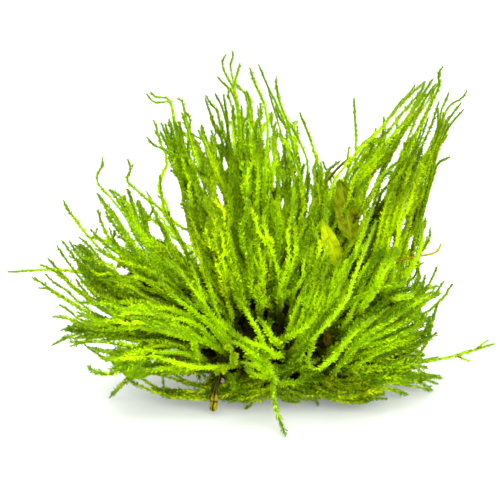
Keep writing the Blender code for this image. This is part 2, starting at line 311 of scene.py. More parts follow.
class Bench:
    """The node tree of one finish."""

    def __init__(self, name: str) -> None:
        """Start an empty material."""
        self.material = bpy.data.materials.new(name)
        self.material.use_nodes = True
        self.tree = self.material.node_tree
        self.tree.nodes.clear()

    def add(self, kind: str, settings: dict | None = None, inputs: dict | None = None) -> bpy.types.Node:
        """Add any node.

        Args:
            kind: the node's type.
            settings: its settings, set first; stops are a colour ramp's places and colours.
            inputs: numbers, colours or links for its sockets, by name or number.

        Returns:
            The node.
        """
        node = self.tree.nodes.new(kind)
        for key, setting in (settings or {}).items():
            if key == "stops":
                self._set_stops(node, setting)
            else:
                setattr(node, key, setting)
        for key, given in (inputs or {}).items():
            if isinstance(given, Value):
                self.tree.links.new(given.socket, node.inputs[key])
            elif isinstance(given, bpy.types.NodeSocket):
                self.tree.links.new(given, node.inputs[key])
            elif isinstance(given, tuple) and node.inputs[key].type == "RGBA":
                node.inputs[key].default_value = (*given, 1.0)
            else:
                node.inputs[key].default_value = given
        return node

    @staticmethod
    def _set_stops(node: bpy.types.Node, stops: list[tuple[float, Colour]]) -> None:
        """Set a colour ramp's stops.

        Args:
            node: the ramp.
            stops: each place and its colour.
        """
        ramp = node.color_ramp
        while len(ramp.elements) < len(stops):
            ramp.elements.new(1.0)
        for element, (place, colour) in zip(ramp.elements, stops):
            element.position = place
            element.color = (*colour, 1.0)

    def map_spot(self) -> tuple[bpy.types.NodeSocket, Value, Value]:
        """Read the piece's own map.

        Returns:
            The map's place, and its two numbers.
        """
        spot = self.add("ShaderNodeUVMap", {"uv_map": BAKE_MAP}).outputs[0]
        parts = self.add("ShaderNodeSeparateXYZ", inputs={0: spot})
        return spot, Value(self, parts.outputs[0]), Value(self, parts.outputs[1])

    def stretched(self, spot: bpy.types.NodeSocket, stretch: Point) -> bpy.types.NodeSocket:
        """Scale a place by its own amount each way.

        Args:
            spot: the place.
            stretch: the three amounts.

        Returns:
            The scaled place.
        """
        node = self.add("ShaderNodeVectorMath", {"operation": "MULTIPLY"}, {0: spot, 1: stretch})
        return node.outputs[0]

    def cloud(self, spot: bpy.types.NodeSocket, scale: float, detail: float = 2.0) -> Value:
        """Give an uneven cloud over a surface.

        Args:
            spot: the place that it is read at.
            scale: how many clouds to a unit.
            detail: how many finer layers it has.

        Returns:
            The cloud's number, about a half on average.
        """
        node = self.add("ShaderNodeTexNoise", inputs={"Vector": spot, "Scale": scale, "Detail": detail})
        return Value(self, node.outputs[0])

    def shades(self, share: Value, stops: list[tuple[float, Colour]]) -> bpy.types.NodeSocket:
        """Colour by a number.

        Args:
            share: the number, from nought to one.
            stops: each place and its colour.

        Returns:
            The colour.
        """
        return self.add("ShaderNodeValToRGB", {"stops": stops}, {0: share}).outputs[0]

    def blended(
        self,
        share: Value,
        first: bpy.types.NodeSocket | Colour,
        second: bpy.types.NodeSocket | Colour,
    ) -> bpy.types.NodeSocket:
        """Go from one colour to another.

        Args:
            share: nought for the first, one for the second.
            first: a colour.
            second: a colour.

        Returns:
            The blend.
        """
        settings = {"data_type": "RGBA", "clamp_factor": True}
        return self.add("ShaderNodeMix", settings, {0: share, 6: first, 7: second}).outputs[2]

    def surface(self, shader: bpy.types.NodeSocket) -> bpy.types.Material:
        """Make a shader the material's surface, and give the material."""
        self.add("ShaderNodeOutputMaterial", inputs={"Surface": shader})
        return self.material


@dataclass(frozen=True)
class MossFinish:
    """Wet moss: every leaf takes its colour from its place along the shoot and its own tone; the shoot bases
    carry painted shade.
    """

    name: str = "wet_moss"
    warmth: float = 1.06
    depth: float = 1.0
    stem_band: float = 0.12
    roughness: float = 0.45
    shine: float = 0.1
    glow: float = 0.42
    glow_colour: Colour = (0.66, 0.9, 0.001)
    greens: tuple[tuple[float, Colour], ...] = (
        (0.0, (0.012, 0.030, 0.0005)),
        (0.2, (0.060, 0.140, 0.0006)),
        (0.4, (0.20, 0.38, 0.0008)),
        (0.6, (0.38, 0.62, 0.001)),
        (0.8, (0.50, 0.76, 0.001)),
        (1.0, (0.64, 0.88, 0.002)),
    )
    # Painted shade: the shoot bases deep in the clump go near black and let little light through, standing
    # for the shade in its hollow middle; partly the real dark of old dead bases.
    dead_and_shaded_leaf: Colour = (0.012, 0.012, 0.0006)
    shaded_base_reach: float = 0.4
    shaded_base_glow_cut: float = 0.85
    tip_leaf: Colour = (0.05, 0.13, 0.0008)
    tip_start: float = 0.74
    tip_share: float = 0.85
    tip_dulling: float = 0.6
    stems: tuple[tuple[float, Colour], ...] = (
        (0.0, (0.05, 0.03, 0.004)),
        (0.4, (0.12, 0.13, 0.004)),
        (1.0, (0.22, 0.38, 0.004)),
    )

    def make(self) -> bpy.types.Material:
        """Make the material."""
        bench = Bench(self.name)
        spot, along, band = bench.map_spot()
        mottle = bench.cloud(bench.stretched(spot, (9.0, 6.0, 1.0)), 1.0)
        tone = (band - self.stem_band) / (1 - self.stem_band) + (mottle - 0.5) * 0.3
        greens = [
            (place, (red * self.warmth * self.depth, green * self.depth, blue))
            for place, (red, green, blue) in self.greens
        ]
        leaves = bench.shades(tone, greens)
        patches = bench.cloud(bench.stretched(spot, (14.0, 11.0, 1.0)), 1.0, 1.0)
        # Painted shade towards each shoot's base, with real dead-leaf patches added at random; the same mask
        # cuts the leaves' glow.
        base_shade_and_age = (self.shaded_base_reach - along).ramp(0.0, 0.6 * self.shaded_base_reach)
        old = base_shade_and_age * 0.93 + patches.ramp(0.62, 0.74) * 0.4
        leaves = bench.blended(old, leaves, self.dead_and_shaded_leaf)
        tipped = along.ramp(self.tip_start, 1.0)
        leaves = bench.blended(tipped * self.tip_share, leaves, self.tip_leaf)
        colour = bench.blended(
            band.over(self.stem_band), bench.shades(along, list(self.stems)), leaves
        )
        gloss = bench.add(
            "ShaderNodeBsdfPrincipled",
            inputs={"Base Color": colour, "Roughness": self.roughness, "Specular IOR Level": self.shine},
        )
        glow = bench.add("ShaderNodeBsdfTranslucent", inputs={"Color": self.glow_colour})
        both = bench.add(
            "ShaderNodeMixShader",
            inputs={
                0: (1 - base_shade_and_age * self.shaded_base_glow_cut) * (1 - tipped * self.tip_dulling) * self.glow,
                1: gloss.outputs[0],
                2: glow.outputs[0],
            },
        )
        return bench.surface(both.outputs[0])


@dataclass(frozen=True)
class BarkFinish:
    """Wet wood with grain along the limb and dark lines in it."""

    name: str = "wet_driftwood_painted_shade"
    # The default colours are near black: the wet wood's own dark colour, darkened further as painted shade of
    # the hollow middle under the moss.
    lightest: Colour = (0.036, 0.026, 0.003)
    middle: Colour = (0.007, 0.005, 0.0008)
    darkest: Colour = (0.002, 0.0015, 0.0003)
    green: Colour = (0.02, 0.03, 0.001)
    lines_around: float = 26.0
    lines_along: float = 5.0
    roughness: float = 0.6
    depth: float = 0.7
    amber_end_from: float = 0.0
    dark_line_around: float = 0.73
    ring_along: float = 0.872

    def make(self) -> bpy.types.Material:
        """Make the material."""
        bench = Bench(self.name)
        spot, around, along = bench.map_spot()
        grain = bench.cloud(bench.stretched(spot, (self.lines_around, self.lines_along, 1.0)), 1.0, 5.0)
        fine = bench.cloud(
            bench.stretched(spot, (self.lines_around * 5, self.lines_along * 3, 1.0)), 1.0, 3.0
        )
        stains = bench.cloud(bench.stretched(spot, (3.0, 5.0, 1.0)), 1.0, 3.0)
        mixed = grain * 0.65 + fine * 0.35
        stops = [(0.32, self.darkest), (0.5, self.middle), (0.68, self.lightest)]
        colour = bench.shades(mixed, stops)
        colour = bench.blended(stains.ramp(0.55, 0.75) * 0.6, colour, self.green)
        # The twig is darker along all but its lower end, with a dark line down the side that faces the camera
        # and a dark band across.
        if self.amber_end_from > 0:
            dark_upper_share = (self.amber_end_from - along).ramp(-0.02, 0.03) * 0.85
            colour = bench.blended(dark_upper_share, colour, self.darkest)
            wander = (fine - 0.5) * 0.12
            off_dark_line = (around - self.dark_line_around + wander).unsigned()
            off_ring = (along - self.ring_along + wander * 0.2).unsigned()
            colour = bench.blended((1 - off_dark_line.ramp(0.02, 0.045)) * 0.9, colour, self.darkest)
            colour = bench.blended((1 - off_ring.ramp(0.006, 0.014)) * 0.8, colour, self.darkest)
        bump = bench.add(
            "ShaderNodeBump", inputs={"Strength": self.depth, "Distance": 0.0006, "Height": mixed}
        )
        wood = bench.add(
            "ShaderNodeBsdfPrincipled",
            inputs={
                "Base Color": colour,
                "Roughness": fine * 0.35 + (self.roughness - 0.15),
                "Specular IOR Level": 0.04,
                "Normal": bump.outputs[0],
            },
        )
        return bench.surface(wood.outputs[0])


@dataclass(frozen=True)
class ScrapFinish:
    """A thin wet leaf with a midrib and side veins, which lets light through."""

    name: str
    blade: Colour
    vein: Colour
    blotch: Colour
    glow_colour: Colour
    glow: float = 0.4
    roughness: float = 0.45
    vein_count: float = 15.0

    def make(self) -> bpy.types.Material:
        """Make the material."""
        bench = Bench(self.name)
        spot, along, over = bench.map_spot()
        off_rib = (over - 0.5).unsigned()
        rib = 1 - off_rib.ramp(0.015, 0.05)
        slanted = (along * self.vein_count - off_rib * 5.0) * (2 * math.pi)
        veins = slanted.bands().ramp(0.86, 0.99) * 0.6
        lines = rib.larger(veins)
        stain = bench.cloud(bench.stretched(spot, (9.0, 4.5, 1.0)), 1.0, 4.0)
        colour = bench.blended(stain.ramp(0.42, 0.6), self.blade, self.blotch)
        colour = bench.blended(lines, colour, self.vein)
        bump = bench.add("ShaderNodeBump", inputs={"Strength": 0.4, "Distance": 0.0002, "Height": lines})
        skin = bench.add(
            "ShaderNodeBsdfPrincipled",
            inputs={
                "Base Color": colour,
                "Roughness": stain * 0.2 + (self.roughness - 0.1),
                "Specular IOR Level": 0.05,
                "Normal": bump.outputs[0],
            },
        )
        glow = bench.add("ShaderNodeBsdfTranslucent", inputs={"Color": self.glow_colour})
        both = bench.add(
            "ShaderNodeMixShader", inputs={0: self.glow, 1: skin.outputs[0], 2: glow.outputs[0]}
        )
        return bench.surface(both.outputs[0])


@dataclass(frozen=True)
class PaperFinish:
    """The plain pale floor."""

    name: str = "pale_floor"
    colour: Colour = (0.43, 0.445, 0.42)
    glow: float = 0.2
    roughness: float = 0.6

    def make(self) -> bpy.types.Material:
        """Make the material."""
        bench = Bench(self.name)
        sheet = bench.add(
            "ShaderNodeBsdfPrincipled",
            inputs={
                "Base Color": self.colour,
                "Roughness": self.roughness,
                "Specular IOR Level": 0.1,
                "Emission Color": (1.0, 1.0, 1.0),
                "Emission Strength": self.glow,
            },
        )
        return bench.surface(sheet.outputs[0])


# Meshes


class Mould:
    """Gathers triangles with their map, and casts them as one piece."""

    def __init__(self) -> None:
        """Start empty."""
        self.spots: list[np.ndarray] = []
        self.faces: list[np.ndarray] = []
        self.maps: list[np.ndarray] = []
        self.count = 0

    def take(self, spots: np.ndarray, faces: np.ndarray, places: np.ndarray) -> None:
        """Add triangles.

        Args:
            spots: corners in millimetres.
            faces: three corner numbers for each triangle.
            places: the map's place at each of a triangle's corners, shaped (triangles, 3, 2).
        """
        self.spots.append(spots)
        self.faces.append(faces + self.count)
        self.maps.append(places)
        self.count += len(spots)

    def cast(self, name: str, material: bpy.types.Material, smooth: bool = False) -> bpy.types.Object:
        """Make the object.

        Args:
            name: the object's name.
            material: what it is made of.
            smooth: whether its faces shade as one surface.

        Returns:
            The object.
        """
        spots = np.vstack(self.spots) * MM
        faces = np.vstack(self.faces)
        places = np.concatenate(self.maps)
        mesh = bpy.data.meshes.new(name)
        mesh.vertices.add(len(spots))
        mesh.vertices.foreach_set("co", spots.astype(np.float32).ravel())
        mesh.loops.add(faces.size)
        mesh.loops.foreach_set("vertex_index", faces.astype(np.int32).ravel())
        mesh.polygons.add(len(faces))
        mesh.polygons.foreach_set("loop_start", np.arange(0, faces.size, 3, dtype=np.int32))
        mesh.polygons.foreach_set("loop_total", np.full(len(faces), 3, np.int32))
        mesh.polygons.foreach_set("use_smooth", np.full(len(faces), smooth))
        layer = mesh.uv_layers.new(name=BAKE_MAP)
        layer.data.foreach_set("uv", np.clip(places, 0.002, 0.998).astype(np.float32).ravel())
        mesh.update(calc_edges=True)
        mesh.materials.append(material)
        thing = bpy.data.objects.new(name, mesh)
        bpy.context.scene.collection.objects.link(thing)
        return thing


def settle(thing: bpy.types.Object, node: str) -> None:
    """Make a finished piece ride the part and stand for its node.

    Args:
        thing: the piece.
        node: the node that it stands for.
    """
    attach(thing, BODY)
    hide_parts(node)
    LOG.info("%s: %d triangles", thing.name, len(thing.data.polygons))


def tube_faces(rings: int, sides: int) -> np.ndarray:
    """Give the corner numbers of an open tube's quarters, as squares.

    Args:
        rings: how many rings it has.
        sides: how many corners a ring has.

    Returns:
        Four corner numbers for each square.
    """
    row, place = np.meshgrid(np.arange(rings - 1), np.arange(sides), indexing="ij")
    here = row * sides + place
    beside = row * sides + (place + 1) % sides
    return np.stack((here, beside, beside + sides, here + sides), axis=-1).reshape(-1, 4)


# Moss


class Leafage(Enum):
    """How a shoot is leaved: a leaf's length, how many degrees it stands off, and the leafy core's radius."""

    WISP = (0.68, 37.0, 0.32)
    SLIM = (0.9, 40.0, 0.26)
    PLAIN = (1.0, 42.0, 0.28)
    FULL = (0.9, 44.0, 0.46)


class Shade(Enum):
    """How bright a bundle's leaves are on average."""

    DEEP = 0.57
    MID = 0.7
    BRIGHT = 0.79
    VIVID = 0.86


class Tint(Enum):
    """Which way a bundle's green leans: its finish's name, how warm it is and how light."""

    PLAIN = ("wet_moss", 1.06, 1.0)
    YELLOW = ("wet_yellow_moss", 1.17, 0.98)
    OLIVE = ("wet_olive_moss", 1.26, 0.66)


@dataclass
class Shoot:
    """One leafy shoot."""

    line: np.ndarray
    leaf: float
    stand: float
    core: float
    tone: float


@dataclass(frozen=True)
class Leafer:
    """Sets leaves on shoots."""

    pitch: float = 0.36
    leaves_per_node: int = 3
    leaf_width: float = 0.58
    broadest: float = 0.4
    fold: float = 0.1
    lowest: float = 0.06
    tone_spread: float = 0.27
    node_spread: float = 0.13
    rib_tone: float = 0.05
    young_share: float = 0.01
    # Share of leaves painted very dark, as the shade between overlapping leaves.
    shade_speck_share: float = 0.09
    tip_share: float = 0.96
    core_sides: int = 3
    core_spacing: float = 1.5
    core_tone: float = -0.25
    band: float = MossFinish.stem_band

    def dress(self, mould: Mould, shoot: Shoot, luck: np.random.Generator) -> None:
        """Add one shoot's stem and leaves to a mould.

        Args:
            mould: where they go.
            shoot: the shoot.
            luck: the random numbers.
        """
        self._core(mould, shoot)
        along = length_along(shoot.line)
        whole = along[-1]
        nodes = max(4, int(whole / (self.pitch * shoot.leaf)))
        at = np.repeat((np.arange(nodes) + 0.6) / nodes, self.leaves_per_node)
        at = np.clip(at + luck.uniform(-0.22, 0.22, len(at)) / nodes, 0, 0.998)
        reads = [
            np.column_stack([np.interp(at * whole, along, rows[:, axis]) for axis in range(3)])
            for rows in (shoot.line, *cross_frame(shoot.line))
        ]
        place, ahead, side, third = reads[0], unit(reads[1]), unit(reads[2]), unit(reads[3])
        count = len(at)
        turn = GOLDEN_TURN * np.arange(count) + luck.uniform(0, 2 * math.pi) + luck.normal(0, 0.3, count)
        out = side * np.cos(turn)[:, None] + third * np.sin(turn)[:, None]
        at_tip = ease((at - self.tip_share) / (1 - self.tip_share))
        stand = np.radians((shoot.stand + luck.normal(0, 9, count)) * (1 - 0.45 * at_tip))[:, None]
        way = ahead * np.cos(stand) + out * np.sin(stand)
        beside = unit(np.cross(ahead, out) + luck.normal(0, 0.3, (count, 3)))
        lumps = np.repeat(1 + luck.normal(0, self.node_spread, nodes), self.leaves_per_node)
        size = shoot.leaf * np.minimum(0.6 + 4 * at, 1) * (1 - 0.25 * at_tip) * luck.uniform(0.75, 1.2, count)
        size = (size * np.clip(lumps, 0.6, 1.5))[:, None]
        base = place + out * self._core_width(at, shoot)[:, None] * 0.8
        half = beside * size * self.leaf_width * 0.5
        broad = base + way * size * self.broadest + np.cross(way, beside) * size * self.fold
        corners = np.stack((base, broad - half, base + way * size, broad + half), axis=1)
        corners[..., 2] = np.maximum(corners[..., 2], self.lowest)
        here = 4 * np.arange(count)[:, None]
        faces = np.concatenate((here + (0, 3, 2), here + (0, 2, 1)))
        tone = shoot.tone + luck.normal(0, self.tone_spread, count)
        # Painted shade: some leaves, picked at random, are set very dark to stand for the shade between
        # overlapping leaves.
        chance = luck.random(count)
        tone = np.where(chance > 1 - self.shade_speck_share, 0.1, tone)
        tone = np.where(chance < self.young_share, 0.97, tone)
        tone = np.clip(tone, 0.06, 0.97)
        band = self.band + 0.02 + (0.96 - self.band) * tone
        reach = np.minimum(size[:, 0] / whole, 0.12)
        ends = [np.stack((at, band), axis=-1), np.stack((at + reach, band + 0.4 * self.rib_tone), axis=-1)]
        edges = [
            np.stack((at + 0.4 * reach, band + tilt), axis=-1) for tilt in (-self.rib_tone, self.rib_tone)
        ]
        places = np.concatenate(
            (np.stack((ends[0], edges[1], ends[1]), axis=1), np.stack((ends[0], ends[1], edges[0]), axis=1))
        )
        places[..., 1] = np.clip(places[..., 1], self.band + 0.01, 0.99)
        mould.take(corners.reshape(-1, 3), faces, places)

    def _core_width(self, share: np.ndarray, shoot: Shoot) -> np.ndarray:
        """Give the radius of the stem with the leaves that lie close against it.

        Args:
            share: how far along the shoot.
            shoot: the shoot.

        Returns:
            The radius there.
        """
        at_tip = ease((share - self.tip_share) / (1 - self.tip_share))
        return shoot.core * np.minimum(0.6 + 3 * share, 1) * (1.25 - 0.4 * share) * (1 - 0.5 * at_tip)

    def _core(self, mould: Mould, shoot: Shoot) -> None:
        """Add a shoot's stem, with the leaves that lie close against it, to a mould.

        Args:
            mould: where it goes.
            shoot: the shoot.
        """
        line = even_line(shoot.line, self.core_spacing)
        _, side, third = cross_frame(line)
        share = np.linspace(0, 1, len(line))
        width = self._core_width(share, shoot)
        angles = np.arange(self.core_sides) * 2 * math.pi / self.core_sides
        rings = (
            line[:, None]
            + side[:, None] * np.cos(angles)[None, :, None] * width[:, None, None]
            + third[:, None] * np.sin(angles)[None, :, None] * width[:, None, None]
        )
        rings[..., 2] = np.maximum(rings[..., 2], self.lowest)
        squares = tube_faces(len(line), self.core_sides)
        band = self.band + (0.96 - self.band) * np.clip(shoot.tone + self.core_tone, 0.08, 0.9)
        across = band + np.array((-0.05, 0.0, 0.05))
        row = squares // self.core_sides
        place = squares % self.core_sides
        spots = np.stack((share[row], across[place]), axis=-1)
        collar = row[:, 0] == 0
        spots[collar, :, 1] = np.array((0.02, 0.06, 0.1))[place[collar]]
        faces = np.concatenate((squares[:, (0, 1, 2)], squares[:, (0, 2, 3)]))
        places = np.concatenate((spots[:, (0, 1, 2)], spots[:, (0, 2, 3)]))
        mould.take(rings.reshape(-1, 3), faces, places)


LEAFER = Leafer()


@dataclass(frozen=True)
class Ages:
    """Most shoots are fresh and bright, and some are old and dark."""

    old_share: float = 0.3
    fresh_tone: float = 0.1
    old_tone: float = -0.3
    spread: float = 0.07

    def tone(self, shade: Shade, luck: np.random.Generator) -> float:
        """Pick how bright one shoot is.

        Args:
            shade: how bright its neighbours are on average.
            luck: the random numbers.

        Returns:
            The shoot's tone.
        """
        middle = self.old_tone if luck.random() < self.old_share else self.fresh_tone
        return shade.value + middle + luck.normal(0, self.spread)


AGES = Ages()


@dataclass(frozen=True)
class Bed:
    """Shoots that lie apart from their tuft's own bundle, one beside another along a route."""

    route: tuple[Point, ...]
    count: int = 5
    scatter: float = 1.0
    shade: Shade = Shade.DEEP


@dataclass(frozen=True)
class Gap:
    """A gap between the shoots, as seen in the picture."""

    across: float
    rise: float
    half_width: float
    half_length: float
    slant: float = 0.0
    deep: bool = False
    farthest: float = 3.0

    def push(self, flat: np.ndarray, back: np.ndarray, room: float) -> np.ndarray | None:
        """Say how a shoot bends aside to leave the gap open. A deep gap ends at the dark inside.

        Args:
            flat: the shoot's line as seen in the picture.
            back: how far back each of its points lies.
            room: half the shoot's width.

        Returns:
            How far each point moves in the picture, or None if the shoot is clear of the gap.
        """
        turn = math.radians(self.slant)
        axes = np.array(((math.sin(turn), math.cos(turn)), (math.cos(turn), -math.sin(turn))))
        sizes = np.array((self.half_length + room, self.half_width + room))
        away = flat - (self.across, self.rise)
        nearness = np.linalg.norm(away @ axes.T / sizes, axis=1)
        middle = int(np.argmin(nearness))
        if nearness[middle] >= 1:
            return None
        heading = unit(flat[min(middle + 1, len(flat) - 1)] - flat[max(middle - 1, 0)])
        aside = np.array((-heading[1], heading[0]))
        offset = float(away[middle] @ aside)
        reach = float(np.linalg.norm(axes @ aside * sizes))
        span = float(np.linalg.norm(axes @ heading * sizes))
        along = length_along(flat)
        run = np.abs(along - along[middle])
        swell = (1 - ease((run - 0.5 * span) / (1.5 * span))) * ease(along / 3.0)
        if self.deep:
            swell = swell * ease((-4 - back) / 4.0)
        move = math.copysign(min(reach - abs(offset), self.farthest), offset)
        return move * swell[:, None] * aside


GAPS = (
    Gap(-19.6, 13.8, 1.7, 4.5, -15),
    Gap(-17.2, 8.6, 0.9, 3.0, -20),
    Gap(-7.4, 13.2, 0.6, 2.7, -25),
    Gap(-7.9, 27.4, 0.4, 1.0),
    Gap(-6.1, 21.2, 0.45, 1.4),
    Gap(5.2, 23.1, 0.4, 1.5),
    Gap(6.2, 17.2, 0.3, 2.0),
    Gap(8.1, 11.6, 0.3, 1.5),
    Gap(-32, -5, 1.1, 1.6, -50),
    Gap(-26.4, -8.5, 0.5, 1.0, -70),
    Gap(-41.9, -12.4, 0.5, 1.3, -50),
    Gap(-32.5, 2, 0.6, 1.4, -50),
    Gap(-23.6, 4.4, 1.3, 2.6, -30),
    Gap(-37.5, -15.5, 0.5, 3.6, -59),
    Gap(-18, 1.2, 0.45, 3, -32),
    Gap(30.4, 16.2, 0.5, 3.0, 15),
    Gap(33.2, 13.4, 0.3, 0.9, 15),
    Gap(35.5, 1.8, 0.5, 1.8, 5),
    Gap(40.2, 2, 0.5, 2.2, 10),
    Gap(38.4, 6.2, 0.35, 1.6, 15),
    Gap(-1.8, -19.3, 1.8, 2.4, 90, deep=True),
    Gap(1.4, -14.5, 0.7, 2.0, deep=True),
    Gap(4, -16.2, 1.0, 1.3, deep=True),
    Gap(8.8, -15, 1.0, 1.8, deep=True),
    Gap(6.2, -19.9, 0.9, 1.3, 90, deep=True),
    Gap(0.9, -20.9, 0.8, 1.1, deep=True),
    Gap(8, -24.6, 0.8, 2.0, 65, deep=True),
    Gap(-9.8, -26.2, 1.6, 2.8, -60, deep=True),
    Gap(-3.6, -15, 0.7, 1.1, deep=True),
    Gap(-9.5, -21.1, 0.4, 1.3, -70, deep=True),
    Gap(-3.5, -24.7, 0.8, 1.0, deep=True),
    Gap(11.2, -31.5, 0.8, 1.3, deep=True),
    Gap(18.6, -22.5, 0.7, 5.4, 27, deep=True),
)


@dataclass(frozen=True)
class Patch:
    """Short shoots on the wood round a place."""

    place: Point
    count: int
    spread: float


@dataclass(frozen=True)
class Tuft:
    """One tuft of moss: a bundle of leafy shoots round a guiding line."""

    name: str
    girth: float
    route: tuple[Point, ...]
    leafage: Leafage = Leafage.PLAIN
    shade: Shade = Shade.MID
    strays: tuple[tuple[Spot, ...], ...] = ()
    ropes: tuple[tuple[Point, ...], ...] = ()
    beds: tuple[Bed, ...] = ()
    tint: Tint = Tint.PLAIN
    drawn: bool = True
    crowd: float = 1.7
    fullness: float = 1.25
    taper: float = 0.45
    tallest: float = 0.95
    standoff: float = 1.1
    skirt: int = 3
    skirt_spread: float = 3.6
    patches: tuple[Patch, ...] = ()
    sway: float = 2.2
    lean: float = 3.0

    def places(self) -> list[np.ndarray]:
        """Give the guiding line's own points, with the first moved to the nearest wood."""
        if self.drawn:
            points = [EASEL.place(*point) for point in self.route]
        else:
            points = [np.array(point, float) for point in self.route]
        place, outward = GROUND.nearest(points[0])
        points[0] = place + self.standoff * outward
        return points

    def shoots(self, luck: np.random.Generator) -> list[Shoot]:
        """Lay out all the tuft's shoots.

        Args:
            luck: the random numbers.

        Returns:
            The shoots.
        """
        guide = smooth_line(self.places(), 0.8)
        made = self._bundle(guide, luck)
        made += self._strays(guide, luck)
        made += self._ropes(luck)
        made += self._beds(luck)
        if self.drawn:
            lean = luck.normal(0, self.lean)
            for shoot in made:
                shoot.line = self._swayed(shoot.line, guide, lean, luck)
        made += self._short_shoots(Patch(tuple(guide[0]), self.skirt, self.skirt_spread), luck)
        for patch in self.patches:
            made += self._short_shoots(patch, luck)
        for shoot in made:
            shoot.line = self._parted(shoot)
        return made

    def _parted(self, shoot: Shoot) -> np.ndarray:
        """Bend a shoot aside from the gaps.

        Args:
            shoot: the shoot.

        Returns:
            Its new line.
        """
        line = shoot.line
        flat, scale = EASEL.flat(line)
        lowest = np.minimum(line[:, 2], 0.6)
        for gap in GAPS:
            move = gap.push(flat, line[:, 1], 0.5 * shoot.leaf)
            if move is not None:
                flat = flat + move
                line = line + scale[:, None] * (move @ EASEL.ways())
        line[:, 2] = np.maximum(line[:, 2], lowest)
        return line

    def _bundle(self, guide: np.ndarray, luck: np.random.Generator) -> list[Shoot]:
        """Lay out the shoots of the bundle.

        Args:
            guide: the guiding line.
            luck: the random numbers.

        Returns:
            The shoots.
        """
        past = guide[-1] + (guide[-1] - guide[-4]) / 3 * np.arange(1, 5)[:, None]
        guide = np.vstack((guide, past))
        share = np.linspace(0, len(guide) / (len(guide) - 4), len(guide))
        _, side, third = cross_frame(guide)
        along = length_along(guide)
        reach = (0.4 + 0.6 * ease(share / 0.4)) * (1 - self.taper * ease((share - 0.35) / 0.65))
        wanted = int(round(self.crowd * self.girth**2))
        spin = luck.uniform(0, 2 * math.pi)
        made = []
        ways = []
        for number in range(wanted):
            turn = spin + number * GOLDEN_TURN
            out = self.girth * self.fullness * 0.9 * math.sqrt((number + 0.5) / wanted)
            own = out * np.array((math.cos(turn), math.sin(turn))) + luck.normal(0, 0.12 * self.girth, 2)
            wave = self._waves(along, luck) * (0.15 + 0.85 * ease(share / 0.8))[:, None]
            way = own[None, :] * reach[:, None] + wave
            begin = 0.0
            if made and luck.random() < 0.4:
                parent = ways[int(luck.integers(len(ways)))]
                begin = luck.uniform(0.12, 0.6)
                lean = luck.normal(0, 0.5 * self.girth, 2)
                grown = ease((share - begin) / 0.45)[:, None]
                way = parent + lean[None, :] * grown + wave * grown
            edge = np.linalg.norm(own) / self.girth
            end = self.tallest - 0.45 * luck.random() ** 1.2 - 0.14 * edge * luck.random()
            end = max(end, begin + 0.2)
            ways.append(way)
            line = guide + side * way[:, :1] + third * way[:, 1:]
            kept = (share >= begin) & (share <= end)
            line = line[kept]
            if begin == 0.0:
                line = self._rooted(line, along[kept])
            line = self._curled(line, luck)
            made.append(self._shoot(line, AGES.tone(self.shade, luck), luck))
        return made

    def _waves(self, along: np.ndarray, luck: np.random.Generator) -> np.ndarray:
        """Give a shoot's own slow waves.

        Args:
            along: the distance along the guiding line.
            luck: the random numbers.

        Returns:
            How far it wanders each way at each point.
        """
        way = np.zeros((len(along), 2))
        for height, low, high in ((0.75, 16, 34), (0.3, 6, 13), (0.14, 3, 5)):
            pitch = luck.uniform(low, high, 2)
            start = luck.uniform(0, 2 * math.pi, 2)
            size = luck.normal(0, height, 2)
            way += size * (np.sin(along[:, None] / pitch * 2 * math.pi + start) - np.sin(start))
        return way

    def _rooted(self, line: np.ndarray, along: np.ndarray) -> np.ndarray:
        """Bring a shoot's first point down to the wood.

        Args:
            line: the shoot's line.
            along: the distance along it.

        Returns:
            The line, rooted.
        """
        place, outward = GROUND.nearest(line[0])
        shift = place - ROOT_DEPTH * outward - line[0]
        fade = 1 - ease((along - along[0]) / 5.0)
        return line + shift[None, :] * fade[:, None]

    def _curled(self, line: np.ndarray, luck: np.random.Generator) -> np.ndarray:
        """Bend a shoot's tip.

        Args:
            line: the shoot's line.
            luck: the random numbers.

        Returns:
            The line with its end bent aside.
        """
        share = np.linspace(0, 1, len(line))
        bend = luck.normal(0, 0.8, 3) * np.array((1.0, 1.0, 0.7))
        line = line + bend * (np.maximum(share - 0.7, 0) / 0.3)[:, None] ** 2
        line[:, 2] = np.maximum(line[:, 2], 0.55)
        return line

    def _shoot(
        self, line: np.ndarray, tone: float, luck: np.random.Generator, leafage: Leafage | None = None
    ) -> Shoot:
        """Make one shoot.

        Args:
            line: its line.
            tone: how bright it is.
            luck: the random numbers.
            leafage: how it is leaved, where that isn't the tuft's own leafage.

        Returns:
            The shoot.
        """
        leaf, stand, core = (leafage or self.leafage).value
        size = luck.uniform(0.8, 1.15)
        return Shoot(even_line(line, 1.0), leaf * size, stand, core * size, tone)

    def _strays(self, guide: np.ndarray, luck: np.random.Generator) -> list[Shoot]:
        """Lay out the shoots whose tips show one by one.

        Args:
            guide: the guiding line.
            luck: the random numbers.

        Returns:
            The shoots.
        """
        made = []
        if not self.strays:
            return made
        route = smooth_line([np.array(point, float) for point in self.route], 0.8)
        for spots in self.strays:
            nearest = [int(np.argmin(np.linalg.norm(route[:, :2] - spot, axis=1))) for spot in spots]
            shares = np.array(nearest) / (len(route) - 1)
            depth = route[nearest, 2] + luck.normal(0, 0.6)
            tip = [EASEL.place(*spot, back) for spot, back in zip(spots, depth)]
            begin = max(0.0, shares[0] - luck.uniform(0.35, 0.6))
            stop = max(begin + 0.02, shares[0] - 0.14)
            first = int(begin * (len(guide) - 1))
            last = int(stop * (len(guide) - 1))
            lower = guide[first : last + 1 : 6] + luck.normal(0, 0.25 * self.girth, 3) * 0.6
            line = smooth_line([*lower, *tip], 0.8)
            if first == 0:
                line = self._rooted(line, length_along(line))
            line[:, 2] = np.maximum(line[:, 2], 0.5)
            made.append(self._shoot(line, self.shade.value + luck.normal(-0.2, 0.07), luck, Leafage.WISP))
        return made

